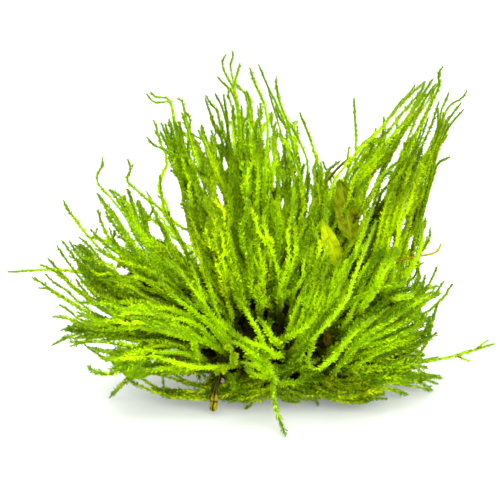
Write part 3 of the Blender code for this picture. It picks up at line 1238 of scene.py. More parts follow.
    def _swayed(
        self, line: np.ndarray, guide: np.ndarray, lean: float, luck: np.random.Generator
    ) -> np.ndarray:
        """Lean a shoot nearer or farther along the lines of sight, so that a bundle fans out from the side.

        Args:
            line: the shoot's line.
            guide: the guiding line.
            lean: how far back the whole bundle leans at its full height.
            luck: the random numbers.

        Returns:
            The line, swayed.
        """
        reach = length_along(guide)[-1]
        share = np.clip(np.linalg.norm(line - guide[0], axis=1) / reach, 0, 1)
        own = lean + luck.normal(0, self.sway)
        start = luck.uniform(0, 2 * math.pi)
        wave = np.sin(share * luck.uniform(4, 9) + start) - math.sin(start)
        back = own * share**1.6 + luck.normal(0, 0.3 * self.sway) * wave * ease(share / 0.3)
        back = back * np.clip(line[:, 2] / 15.0, 0, 1) * reach / 40.0
        sight = unit(line - np.array(EASEL.eye()) / MM)
        return line + sight * back[:, None]

    def _short_shoots(self, patch: Patch, luck: np.random.Generator) -> list[Shoot]:
        """Lay out short shoots on the wood round a place.

        Args:
            patch: where, and how many.
            luck: the random numbers.

        Returns:
            The shoots.
        """
        made = []
        place, outward = GROUND.nearest(np.array(patch.place))
        for _ in range(patch.count):
            start, out = GROUND.nearest(place + luck.normal(0, patch.spread, 3))
            way = unit(out * luck.uniform(0.4, 1.1) + luck.normal(0, 0.65, 3) + (0, -0.2, 0.15))
            reach = luck.uniform(4, 11)
            turn = unit(way + luck.normal(0, 0.5, 3))
            line = smooth_line([start - 0.4 * out, start + way * reach * 0.5, start + turn * reach], 0.8)
            line[:, 2] = np.maximum(line[:, 2], 0.5)
            made.append(self._shoot(line, self.shade.value + luck.normal(-0.24, 0.1), luck))
        return made

    def _ropes(self, luck: np.random.Generator) -> list[Shoot]:
        """Lay out the shoots that follow routes of their own from the wood to the tip.

        Args:
            luck: the random numbers.

        Returns:
            The shoots.
        """
        made = []
        for route in self.ropes:
            line = smooth_line([EASEL.place(*point) for point in route], 0.8)
            line = self._rooted(line, length_along(line))
            line[:, 2] = np.maximum(line[:, 2], 0.5)
            made.append(self._shoot(line, self.shade.value + luck.normal(-0.03, 0.1), luck))
        return made

    def _beds(self, luck: np.random.Generator) -> list[Shoot]:
        """Lay out the shoots that lie apart.

        Args:
            luck: the random numbers.

        Returns:
            The shoots.
        """
        made = []
        for bed in self.beds:
            for _ in range(bed.count):
                points = [EASEL.place(*point) for point in bed.route]
                aside = luck.normal(0, bed.scatter, 3)
                points = [point + aside + luck.normal(0, 0.4 * bed.scatter, 3) for point in points]
                line = smooth_line(points, 0.8)
                line = line[: int(len(line) * luck.uniform(0.7, 1.0))]
                line = self._rooted(line, length_along(line))
                line[:, 2] = np.maximum(line[:, 2], 0.5)
                made.append(self._shoot(line, AGES.tone(bed.shade, luck), luck))
        return made

    def build(self, finish: bpy.types.Material, seed: int) -> bpy.types.Object:
        """Build the tuft and put it in place of its node.

        Args:
            finish: the moss's material.
            seed: what its random numbers start from.

        Returns:
            The piece.
        """
        luck = np.random.default_rng(seed)
        mould = Mould()
        for shoot in self.shoots(luck):
            LEAFER.dress(mould, shoot, luck)
        thing = mould.cast(f"{self.name}_shoots", finish)
        settle(thing, f"moss_{self.name}")
        return thing


FULL = Leafage.FULL
SLIM = Leafage.SLIM

TOP_TUFTS = (
    Tuft(
        "top_left_outer", 4.4, ((-7, -9, 4), (-12.5, 8.5, 4), (-16.5, 22.5, 5), (-20, 37, 6)), SLIM,
        Shade.BRIGHT, fullness=0.7, taper=0.6, tallest=0.95, strays=(((-19.2, 33.8), (-19.5, 36.2),
        (-19.8, 37.5), (-20.5, 38), (-21.8, 38.2), (-23.8, 38.2), (-24.8, 39.5)), ((-18.8, 31),
        (-19.4, 35.5), (-20, 37.2), (-21.8, 37), (-23.2, 36.8), (-24.5, 37.2), (-25.8, 39)), ((-15, 3.8),
        (-16.5, 12.5), (-17.6, 17.5), (-18.8, 21.2), (-20.5, 24.5), (-22, 25.5), (-23.8, 26),
        (-25.8, 28.2)), ((-18.5, 22), (-20.5, 27.5), (-22.2, 31.8)), ((-18, 22), (-20, 27.5),
        (-21.2, 31.5)), ((-19, 22.5), (-20.8, 26.5), (-22.5, 29.8)))
    ),
    Tuft(
        "top_left_inner", 4.0, ((-4.5, -9.5, 9), (-8, 8.5, 12), (-12, 21, 14), (-16.5, 36.5, 14)), SLIM,
        Shade.BRIGHT, taper=0.7, tallest=0.88, strays=(((-12, 22), (-14.2, 26.2), (-15, 30), (-15.8, 32.5),
        (-16.5, 35.5), (-16.8, 37.5), (-18.2, 37.8)), ((-13.8, 26), (-15.2, 31.2), (-14.5, 32.5),
        (-15.5, 33.8), (-16.2, 34.5)))
    ),
    Tuft(
        "top_left_front", 3.6, ((-3, -10, -4), (-6.5, 8.5, -5), (-9.5, 21, -4), (-12, 31, -3)),
        shade=Shade.VIVID, tint=Tint.YELLOW, taper=0.6, beds=(Bed(((-4, -12, -6), (-9, -3, -8),
        (-12.5, 5, -8), (-14.5, 12, -7)), 18, 2.1, Shade.VIVID),), strays=(((-9, 20), (-11.2, 26),
        (-12.2, 31.2)), ((-8, 18), (-10.5, 25), (-13, 30)))
    ),
    Tuft(
        "top_fork", 3.8, ((0.5, 4, 13), (-3, 11, 17), (-6, 26, 17), (-9.5, 38, 17)), SLIM, Shade.DEEP,
        taper=0.6, strays=(((-7.5, 28), (-9.2, 31.2), (-10, 34.2), (-11.2, 37.8)), ((-7, 30), (-8.2, 35),
        (-9.5, 36.2), (-11, 38.5)), ((-5.5, 30), (-7, 35.8), (-8.8, 39.2)), ((-5.5, 31), (-6.2, 36.2),
        (-6.5, 38.8)), ((-8.5, 22), (-10.8, 27.5), (-12, 31.2)))
    ),
    Tuft(
        "top_tall", 3.6, ((0, -9.5, 3), (-1, 12.5, 3), (-2.5, 32.5, 5), (-4.5, 49, 6)), SLIM, Shade.BRIGHT,
        taper=0.75, tallest=0.92, beds=(Bed(((-1, -10, -2), (-2, 2, -4), (-3, 12, -4),
        (-4, 22, -2)), 11, 1.7, Shade.VIVID),), strays=(((-3.2, 36), (-3.8, 39), (-4.5, 41.2), (-6, 43.8),
        (-7, 47), (-6, 48.8)), ((-3, 36.5), (-3.9, 40), (-4.2, 42.5), (-4.8, 45), (-4.8, 47), (-4, 48.5),
        (-4.5, 49.8)), ((-3, 36), (-4, 40.5), (-3, 44.5), (-2.5, 46.5)), ((-2.8, 34), (-4.5, 39.5),
        (-6.8, 41.8), (-8, 43.2)))
    ),
    Tuft(
        "top_mid", 3.6, ((3, -9.5, -5), (3.5, 11, -6), (3, 28.5, -4), (0, 45.5, -2)), shade=Shade.VIVID,
        taper=0.75, tallest=0.9, strays=(((4.5, 30), (4, 35), (3, 38), (1.2, 42), (0, 45.5)), ((1.2, 28),
        (0.5, 34.5), (-0.2, 37.8), (-0.8, 39.8)))
    ),
    Tuft(
        "top_mid_right", 3.6, ((4.5, -8.5, 9), (8.5, 11, 11), (8, 30, 12), (2.5, 45.5, 12)), SLIM,
        Shade.BRIGHT, crowd=1.5, taper=0.8, tallest=0.86, strays=(((12.5, 20), (10, 28.8), (8.2, 33),
        (6.2, 37.5), (4.5, 40.8), (2.2, 46.2)), ((8, 28), (6.5, 33.8), (5.5, 37), (4.5, 40.8)))
    ),
    Tuft(
        "top_right", 3.6, ((7.5, -9.5, 2), (13, 11, 2), (11, 26, 3), (6.5, 42.5, 4)), SLIM, Shade.BRIGHT,
        crowd=1.4, taper=0.8, tallest=0.8, strays=(((10.5, 27), (9.5, 32), (8.2, 35), (7.2, 38), (6.8, 40),
        (6.5, 43)), ((14.5, 21), (12.5, 27), (9.8, 32)))
    ),
    Tuft(
        "top_right_front", 3.2, ((10.5, -10, -6), (17, 8.5, -6), (16.5, 22.5, -4), (12.5, 33.5, -3)), SLIM,
        tint=Tint.YELLOW, crowd=2.1, taper=0.65, tallest=0.84, strays=(((17.8, 15), (17.2, 20.5), (16, 25),
        (15, 28.2), (13.8, 31.2), (12.5, 34.2)),)
    ),
    Tuft(
        "notch", 3.0, ((12.5, -9.5, 8), (18.5, 6, 10), (19, 19.5, 11)), tint=Tint.YELLOW, crowd=2.2,
        tallest=1.0, beds=(Bed(((12, -9, 2), (15, 3, 2), (17, 12, 3), (18, 19, 4)), 6, 1.3, Shade.MID),
        Bed(((11, -3, 0), (13, 6, 1), (14.2, 12, 1), (15, 18, 2)), 6, 0.8), Bed(((15, -8, -2), (19, 4, -2),
        (22, 12, -1), (24, 18, 0)), 6, 1.2, Shade.BRIGHT)), strays=(((21, 12), (20, 18.2), (18.8, 20.5),
        (18.2, 22.2)), ((18.6, 14), (19.5, 19.5), (22.5, 22.2)), ((20, 8), (21.8, 15.8), (20.8, 18.5),
        (19.8, 19.5)))
    ),
)

RIGHT_TUFTS = (
    Tuft(
        "right_fan_left", 3.4, ((15.5, -10.5, -5), (23.5, 7.5, -6), (33, 26, -5), (41.5, 41, -4)), SLIM,
        tint=Tint.YELLOW, crowd=1.5, taper=0.5, tallest=0.85, ropes=(((14, -10, -4), (19, 9, -5),
        (21, 17, -5), (26, 23.5, -5), (30, 27.5, -5), (33.5, 31, -5), (36.3, 34.7, -5), (40, 38.7, -5),
        (43.6, 42, -5)), ((15, -10, -4), (20, 8, -5), (22, 15.5, -5), (27, 21.5, -5), (31, 26, -5),
        (34.5, 29.5, -5), (37.5, 33.5, -5), (41, 37.5, -5), (43.4, 40.5, -5)), ((16, -10, -4),
        (21.5, 7, -5), (23.5, 14, -5), (28.5, 20, -5), (32, 24.5, -5), (35.5, 28.5, -5), (38.5, 32, -5),
        (42, 36.5, -5), (44, 39, -5))), strays=(((24, 18), (27, 25), (30, 28), (32.5, 30), (34, 32),
        (36.2, 35), (38.2, 37.5), (40, 39.2), (41.2, 41.2)), ((30, 24), (31.2, 28), (31.5, 30.5)),
        ((32.5, 27), (33.5, 30.5), (33.5, 33.2)), ((23, 14), (26, 21), (29, 26), (32, 28)))
    ),
    Tuft(
        "right_fan_back", 3.4, ((16.5, -10, 6), (26.5, 8.5, 8), (36.5, 27.5, 9), (45.5, 42.5, 10)), SLIM,
        Shade.MID, tint=Tint.YELLOW, crowd=1.3, taper=0.6, tallest=0.85, ropes=(((16.5, -10, 6), (22, 4, 7),
        (29, 15, 8), (32.5, 20.5, 8), (33, 25, 8), (33.2, 29, 8)), ((16.5, -10, 6), (23, 5, 7), (28, 14, 8),
        (31, 23.8, 8), (35.2, 28, 8), (39.4, 32.8, 8)), ((17, -9, 6), (24, 6, 7), (30, 17, 8),
        (34.5, 24, 8), (38.5, 29.5, 8), (42, 34.5, 8))), strays=(((40, 34), (42.5, 39), (43.8, 42.2)),
        ((41, 35), (44, 40), (45.8, 42.8)), ((42, 35), (45, 39.5), (46.5, 41.5)), ((43, 35), (46, 40),
        (47.8, 42.5)))
    ),
    Tuft(
        "right_fan_tall", 3.4, ((18, -11.5, 0), (30.5, 8, 1), (39.5, 25, 2), (48, 45, 2)), SLIM,
        tint=Tint.YELLOW, crowd=1.6, taper=0.6, tallest=0.76, ropes=(((18, -11, 1), (28, 3, 2), (34, 13, 2),
        (37.3, 21.8, 2), (39.4, 27.5, 2), (41.5, 32.8, 2), (43.6, 37.5, 2)), ((19, -11, 1), (30, 3, 2),
        (36, 14, 2), (39.4, 23.8, 2), (42, 30, 2), (44.7, 35.3, 2), (46, 40.5, 2)), ((19.5, -11, 2),
        (31, 3, 3), (37, 13, 3), (40, 19.5, 3), (43, 26, 3), (45.5, 31.5, 3), (47.2, 37, 3)), ((18, -11, 2),
        (28, 3, 3), (35, 13, 3), (39.5, 20.5, 3), (42.5, 27, 3), (44.5, 33, 3)), ((19, -11, 1), (29, 2, 2),
        (36, 11.5, 2), (40, 18.5, 2), (41.8, 23, 2))), beds=(Bed(((24, -6, 2), (31, 3, 3), (36, 12, 3),
        (40, 21, 3), (42.5, 28, 3)), 12, 1.4, Shade.VIVID),), strays=(((43.8, 33.5), (45.8, 37.5), (47, 40),
        (47.5, 42), (47, 43.5), (47.5, 44.8), (48.2, 45.8)), ((38, 18), (41, 25), (42.5, 28.8),
        (43.5, 32.5), (45, 36.2)))
    ),
    Tuft(
        "far_right_front", 3.4, ((21, -15, -3), (37, 1.5, -3), (43.5, 17.5, -2), (49.5, 39, -1)), SLIM,
        Shade.MID, tint=Tint.YELLOW, crowd=0.7, fullness=0.7, taper=0.7, tallest=0.7,
        beds=(Bed(((26, -17, -8), (32, -10, -9), (36, -1, -9), (38.5, 8, -8), (41, 17, -6),
        (43, 24, -4)), 9, 0.9, Shade.VIVID), Bed(((24, -16, -7), (30, -8, -8), (33, 1, -8), (35.5, 10, -7),
        (38.5, 19, -5)), 6, 1.0, Shade.VIVID)), ropes=(((22, -15, -3), (32, -8, -3), (36.5, -2, -3),
        (38.5, 3.7, -3), (39, 8.7, -3), (39.7, 13, -2), (41.2, 17.5, -2), (43, 21.7, -2), (45, 25.7, -2),
        (46.7, 29.5, -1), (47.5, 32.5, -1)), ((22, -15, -2), (33, -8, -2), (37.5, -2, -2), (39.5, 3.7, -2),
        (40, 8.7, -2), (40.7, 13, -2), (42.2, 17.5, -1), (44, 21.7, -1), (45.7, 25.7, -1), (47.2, 29.2, -1),
        (48.2, 32, -1)), ((22, -15, -3), (33, -7, -3), (37, 0, -3), (39, 6.2, -3), (39.7, 11.2, -3),
        (40.7, 15, -3), (42.5, 19.5, -3), (44.5, 23.7, -2), (46.2, 27.2, -2), (47.7, 30.7, -2),
        (48.5, 34.2, -2))), strays=(((46.5, 28), (47.5, 32.5), (47.8, 35), (48.8, 37), (49.8, 39.5)),
        ((45.8, 26), (47, 31.2), (47, 35)))
    ),
    Tuft(
        "far_right_back", 3.4, ((22, -14.5, 7), (38.5, 1.5, 9), (46, 21, 10), (54, 39.5, 10)), SLIM,
        Shade.DEEP, tint=Tint.YELLOW, crowd=0.5, fullness=0.6, taper=0.7, tallest=0.6, ropes=(((22, -14, 5),
        (33, -7, 6), (38, -1, 6), (40.5, 3.7, 6), (41, 8.7, 6), (42, 13.7, 6), (43.5, 18.7, 7),
        (45.2, 23.7, 7), (46.7, 27, 7), (48.2, 30, 8), (49, 32.2, 8)), ((22, -14, 6), (34, -6, 7),
        (39, 0, 7), (41.5, 5, 7), (42, 9.5, 7), (43, 13.7, 7), (44.5, 18.2, 8), (46, 22.5, 8),
        (47.5, 26.2, 8), (48.7, 29.2, 9), (49.7, 31.5, 9)), ((22, -14, 4), (33, -6, 4), (37.5, 1, 4),
        (39.7, 7, 4), (40.5, 12, 4), (41.7, 16.5, 4), (43.5, 21, 5), (45.2, 25, 5), (46.9, 28.5, 5),
        (48.3, 31.5, 5)), ((22, -14, 4), (34, -7, 4), (38.2, 0, 4), (40.2, 6, 4), (41.3, 11.5, 4),
        (42.9, 16.5, 4), (44.6, 21.3, 5), (46.4, 25.3, 5), (48, 29.3, 5), (49.6, 33.3, 5))),
        strays=(((47.5, 30), (49, 34.5), (49.8, 36), (51.2, 37), (53.2, 38), (54.2, 39.8)), ((48, 29),
        (50.5, 33.8), (52.8, 36.8)), ((46.5, 24), (48.8, 28.8), (50, 31.2), (53.5, 35.2)), ((45.5, 22),
        (47.5, 26.2), (49.5, 28.8)))
    ),
    Tuft(
        "far_right_side", 2.6, ((23.5, -17, 3), (37.5, -7, 4), (41.5, 5, 4), (50, 23, 3)), SLIM,
        tint=Tint.YELLOW, fullness=0.8, taper=0.7, tallest=0.7, strays=(((44.8, 15), (46.5, 20.5),
        (47, 21.8), (50, 23.2)), ((44, 14), (45.2, 18), (46.2, 19.2)), ((41, -7), (42, 0), (42.3, 5),
        (43, 10), (44.5, 16)), ((41.5, -9), (41.9, -3), (42.2, 3), (42.6, 8), (43.8, 13))),
        beds=(Bed(((30, -20, 1), (36, -13, 2), (38.5, -3, 2), (40.2, 8, 2), (42.5, 17, 2)), 8, 0.9,
        Shade.VIVID), Bed(((27, -20, -1), (33, -12, -1), (34.5, 0, 0), (36, 12, 0), (38, 22, 0)), 9, 1.3,
        Shade.VIVID))
    ),
    Tuft(
        "right_front_up", 3.8, ((12.5, -21, -14), (22, -9, -19), (28.5, 4, -20), (32, 13, -18)), FULL,
        Shade.VIVID, crowd=0.45, ropes=(((7, -28.5, -15), (10.5, -25.2, -20), (15, -22.5, -23),
        (18.7, -19, -25), (22, -15.2, -26), (24.5, -11.7, -26), (25.7, -7.7, -26), (27.7, -2.5, -25),
        (29.7, 2.5, -24), (31.5, 7.2, -22)), ((12.5, -23.7, -15), (17.5, -17, -21), (21, -10.5, -23),
        (24.3, -5, -23), (26.7, 0.5, -22), (28.9, 6, -21), (30.8, 10.7, -20)), ((9.5, -26.5, -15),
        (13.5, -22.5, -20), (17.5, -17.7, -23), (20.5, -13, -24), (22.2, -9.5, -24), (23.7, -6.5, -23))),
        beds=(Bed(((24, -18, -6), (32, -10, -5), (36, -2, -4), (38, 8, -3)), 12, 2.0, Shade.VIVID),
        Bed(((22, -19, -12), (27, -12, -14), (30.5, -6, -14), (34, 1, -13)), 14, 1.5, Shade.BRIGHT),
        Bed(((12, -12, -4), (16, -6, -2), (17.5, 0, 0), (18.5, 6, 1)), 8, 1.3, Shade.BRIGHT),
        Bed(((9, -28, -16), (13, -24, -21), (17, -18.5, -24), (20.5, -13, -24.5), (23, -8, -24)), 6, 0.8))
    ),
    Tuft(
        "right_front_mid", 3.6, ((15.5, -23, -13), (27, -14.5, -20), (36.5, -9.5, -21), (44, -4.5, -19)),
        FULL, Shade.BRIGHT, crowd=0.35, skirt=0, beds=(Bed(((23, -27, -15), (28, -21, -18), (34, -16, -19),
        (40, -10.5, -18)), 9, 1.4), Bed(((22, -28.5, -14), (29, -23, -16), (36, -18.5, -17),
        (43, -12.5, -16)), 6, 1.0, Shade.BRIGHT)), ropes=(((19, -33.5, -17), (21, -30.7, -21),
        (23.2, -28, -23), (25.5, -24.7, -24), (28.2, -22, -24), (31.5, -19.7, -23), (35.5, -17.5, -22),
        (39.5, -14.5, -20)), ((20, -30.5, -14), (23.7, -26.5, -19), (28, -23.5, -21), (33, -21, -21),
        (38, -18.5, -20), (42.7, -15.5, -18)), ((21.2, -32.5, -14), (25.5, -29.5, -18), (30.5, -26.5, -20),
        (36, -24, -20), (41.7, -21.5, -19), (45.2, -20.7, -18)))
    ),
    Tuft(
        "right_mid", 3.4, ((26, -23, -8), (33, -16, -9), (40.5, -12.5, -8), (48, -7.5, -6)), FULL,
        Shade.MID, taper=0.3, tallest=0.98, skirt=0, strays=(((39, -6), (41.8, -4), (43.2, -3.2)),
        ((43, -11), (45, -8.2), (46.8, -4.2)), ((42, -12), (43.2, -8.8), (43.8, -6.5)), ((41, -15),
        (44.5, -12.5), (46.2, -11.2), (48.5, -7.8)), ((43, -16), (47, -13.2), (49, -11.2), (49.5, -9.8),
        (50.8, -8.5)))
    ),
    Tuft(
        "right_low", 3.4, ((18.5, -25.5, -9), (31, -23, -14), (39.5, -20.5, -14), (46.5, -14.5, -12)), FULL,
        Shade.DEEP, taper=0.3, tallest=0.98, strays=(((36, -29), (40.5, -28), (43.8, -23.8), (45.2, -20),
        (46, -16.2), (47, -13.2)), ((34, -28), (39, -26.5), (43, -22.5), (45, -17))),
        beds=(Bed(((28, -26, 0), (33, -25.5, 2), (38, -24.5, 4), (43, -21.5, 5)), 12, 1.5, Shade.DEEP),)
    ),
    Tuft(
        "right_floor", 3.0, ((17.5, -29, -7), (30, -30, -9), (39.5, -30.5, -7), (48, -31.5, -4)),
        Leafage.PLAIN, Shade.MID, crowd=0.9, fullness=0.9, ropes=(((17, -29, -8), (21.2, -33, -10),
        (30.7, -31.5, -9), (38.7, -30.7, -7), (47.5, -31.5, -5)), ((17, -30, -9), (22.5, -34.2, -11),
        (34.7, -33.3, -9), (41.5, -32.7, -7), (45.2, -34.6, -6)), ((16, -29, -9), (24, -31.5, -11),
        (32, -29.8, -10), (40, -29, -8), (44, -29.5, -7)), ((16, -30, -10), (24, -34, -12),
        (30, -34.8, -11), (35, -34.8, -10), (38.5, -36, -9)), ((18, -30, -10), (26, -33, -11),
        (33, -32, -10), (39, -31.8, -8), (43, -32.2, -7))), beds=(Bed(((17, -29, -7), (26, -31, -8),
        (34, -31.5, -8), (41, -32, -7)), 12, 1.1, Shade.DEEP),), strays=(((34, -29.5), (38.8, -30.5),
        (43, -31.5), (48, -32)), ((38, -31), (42.5, -32), (47, -33.5)), ((34, -32), (38.8, -33.8),
        (42, -34.2), (45.5, -35.5)))
    ),
    Tuft(
        "right_floor_front", 2.6, ((16, -31, -12), (25, -34, -18), (32.5, -35.5, -18), (39, -36.5, -16)),
        Leafage.PLAIN, Shade.MID, tint=Tint.OLIVE, crowd=0.8, fullness=0.6, tallest=0.8, strays=(((32, -34),
        (36.2, -35), (39.5, -36.2)), ((12, -33), (15.8, -36.2), (17, -38.8)), ((13, -34), (17.5, -36.2),
        (21.2, -37.5))), beds=(Bed(((12, -30, -12), (20, -33.5, -15), (28, -33.5, -15),
        (36, -32.5, -12)), 10, 1.0), Bed(((4, -30, -13), (10, -35, -16), (20, -36.5, -16)), 9, 1.1,
        Shade.DEEP), Bed(((10, -31, -12), (2, -36, -16), (-8, -37, -16)), 9, 1.1, Shade.DEEP),
        Bed(((4, -32, -15), (8, -36.5, -17), (14, -37.2, -17)), 8, 0.8, Shade.DEEP), Bed(((14, -32, -14),
        (22, -36.5, -17), (29, -37.3, -17), (36, -36.5, -15)), 7, 0.7))
    ),
)

FRONT_TUFTS = (
    Tuft(
        "front_bright", 3.0, ((0.5, -23, -15), (1.5, -24, -24), (-1, -18.5, -28), (-4, -11.5, -29)), FULL,
        Shade.VIVID, crowd=0.2, skirt=1, ropes=(((6, -28.5, -15), (3.75, -24.5, -21), (1.75, -20.2, -25),
        (0, -17, -27), (-1.75, -14, -28), (-3.75, -11.7, -29)), ((7, -30.5, -16), (3.5, -28, -23),
        (0, -25.7, -27), (-2.75, -24, -29), (-5.25, -22.7, -30)), ((10, -26.5, -16), (6.5, -25, -22),
        (2.5, -24, -26), (-0.75, -22.5, -28), (-3.25, -20.7, -29)), ((9, -26, -16), (6, -23.2, -21),
        (5, -20.7, -23), (3.75, -18.7, -24), (2.25, -17.2, -25)), ((5.5, -31, -17), (3, -29.5, -23),
        (0, -28.5, -27), (-2.25, -28, -28)), ((6, -31.5, -17), (3.5, -31.5, -23), (1, -31.2, -26),
        (-1, -29.2, -28)), ((2.5, -27, -18), (4.5, -29.5, -25), (6.25, -32, -28), (8, -33.7, -29)),
        ((6, -29.5, -15), (2.5, -26.5, -22), (-0.5, -24.5, -26), (-3.5, -22, -28)), ((8, -30, -15),
        (4, -29, -22), (1, -27.5, -26), (-1.5, -26.5, -28)))
    ),
    Tuft(
        "front_hook", 1.4, ((20, -25.5, -15), (23.7, -23.5, -21), (19.5, -28, -27), (14.5, -27.2, -27)),
        FULL, Shade.VIVID, crowd=0.0, skirt=6, ropes=(((20, -25.5, -15), (23.75, -23.5, -21),
        (21, -26.2, -26), (19.2, -28.2, -28), (17.5, -29.7, -29), (15.75, -29.7, -29), (14.75, -28.7, -28),
        (14.5, -27.2, -27)), ((18, -27, -15), (20.75, -26, -22), (23.7, -23.2, -25), (26.5, -20.5, -26),
        (28.2, -18.7, -26), (30.75, -16.7, -25))), beds=(Bed(((4, -33, -13), (8, -31.5, -16),
        (12, -29.5, -17), (15.5, -27, -17)), 6, 1.1), Bed(((7, -34.5, -14), (11, -33, -16),
        (15, -31.8, -17), (19, -31.5, -17)), 5, 0.9))
    ),
    Tuft(
        "front_up_mid", 3.8, ((3, -17, -11), (3, -4.5, -16), (2, 5.5, -17), (1.5, 16, -15)),
        shade=Shade.VIVID, skirt=5, beds=(Bed(((3, -12, -9), (3, -4, -9), (2, 4, -8), (2, 12, -7)), 14, 2.5,
        Shade.BRIGHT),)
    ),
    Tuft(
        "front_up_left", 3.8, ((-2.5, -18, -11), (-5.5, -5.5, -16), (-8, 5, -17), (-10.5, 15, -15)),
        Leafage.PLAIN, Shade.VIVID, tint=Tint.YELLOW, tallest=1.0, skirt=0, beds=(Bed(((-4, -12, -9),
        (-6, -4, -9), (-8, 4, -8), (-9, 12, -7)), 14, 2.5, Shade.BRIGHT),)
    ),
    Tuft(
        "front_up_right", 3.8, ((8.5, -17, -11), (12.5, -5, -16), (14, 5, -16), (14, 16, -13)),
        Leafage.PLAIN, Shade.BRIGHT, ropes=(((5.5, -25.5, -14), (10, -21.7, -19), (13.7, -19.5, -22),
        (17, -16, -24), (18.5, -13, -25), (18.2, -10, -25), (18, -6.2, -24)), ((12, -21, -15),
        (14.2, -16, -21), (13.5, -12, -23), (14.7, -6.7, -23)), ((13, -16, -18), (16.5, -6, -21),
        (18.6, -1, -21.5), (19.5, 3, -21), (19.2, 7, -20.5), (18.4, 10, -20))), skirt=6,
        beds=(Bed(((10, -12, -9), (13, -4, -8), (15, 4, -7), (17, 12, -6)), 14, 2.5, Shade.MID),
        Bed(((8, -26, -12), (10, -21, -14), (12.5, -16, -15), (14, -10, -15)), 7, 1.2, Shade.BRIGHT),
        Bed(((12, -27.5, -16), (14, -22, -19), (15.5, -17, -21), (17, -12, -21)), 7, 1.1, Shade.VIVID),
        Bed(((10, -24, -16), (13, -16, -19), (16, -8, -21), (18, -1, -22)), 10, 1.6, Shade.VIVID),
        Bed(((14, -24, -16), (18, -16, -20), (22, -7, -22), (25, 0, -22)), 8, 1.3, Shade.VIVID))
    ),
    Tuft(
        "front_left_up", 3.4, ((-4.5, -22, -15), (-12, -14.5, -22), (-18.5, -8.5, -24), (-23.5, -3, -23)),
        FULL, Shade.BRIGHT, crowd=0.35, skirt=0, ropes=(((-3, -25.5, -15), (-6, -22, -20), (-9, -17.5, -22),
        (-11.7, -13.2, -23.5), (-14.5, -9.5, -24), (-17.7, -5, -24), (-19.5, -2.7, -24)), ((-6, -22.5, -16),
        (-10.5, -15.5, -22), (-12.5, -10.7, -23), (-13.7, -6.5, -22), (-15, -3, -21)), ((-4.5, -25, -14),
        (-7.2, -18.7, -17), (-9.2, -12.5, -18), (-10.5, -7.5, -18), (-11, -3, -17)))
    ),
    Tuft(
        "front_left", 3.2, ((-5.5, -25, -16), (-15, -21, -24), (-23.5, -18, -27), (-32, -13, -28)), FULL,
        Shade.MID, crowd=0.3, skirt=2, ropes=(((-2.5, -26.5, -16), (-5.5, -24.2, -21), (-8.2, -21, -24),
        (-11.2, -17.7, -26), (-15, -14.7, -27), (-18.5, -12, -28), (-21.2, -9, -28), (-23.2, -5.5, -27)),
        ((-3.5, -27.5, -16), (-7, -25.2, -21), (-12.5, -22.2, -25), (-17.5, -19.2, -27),
        (-22.5, -16.2, -28), (-27.2, -12.5, -28)), ((-4, -27, -16), (-10, -23.5, -22), (-16.5, -21.8, -26),
        (-22.2, -20.3, -28), (-26.5, -17.7, -29)))
    ),
    Tuft(
        "front_point", 3.0, ((-2.5, -27.5, -17), (-6.5, -27.5, -28), (-11, -28.5, -42)), SLIM, Shade.MID,
        tint=Tint.OLIVE, crowd=0.45, taper=0.2, tallest=1.12
    ),
)

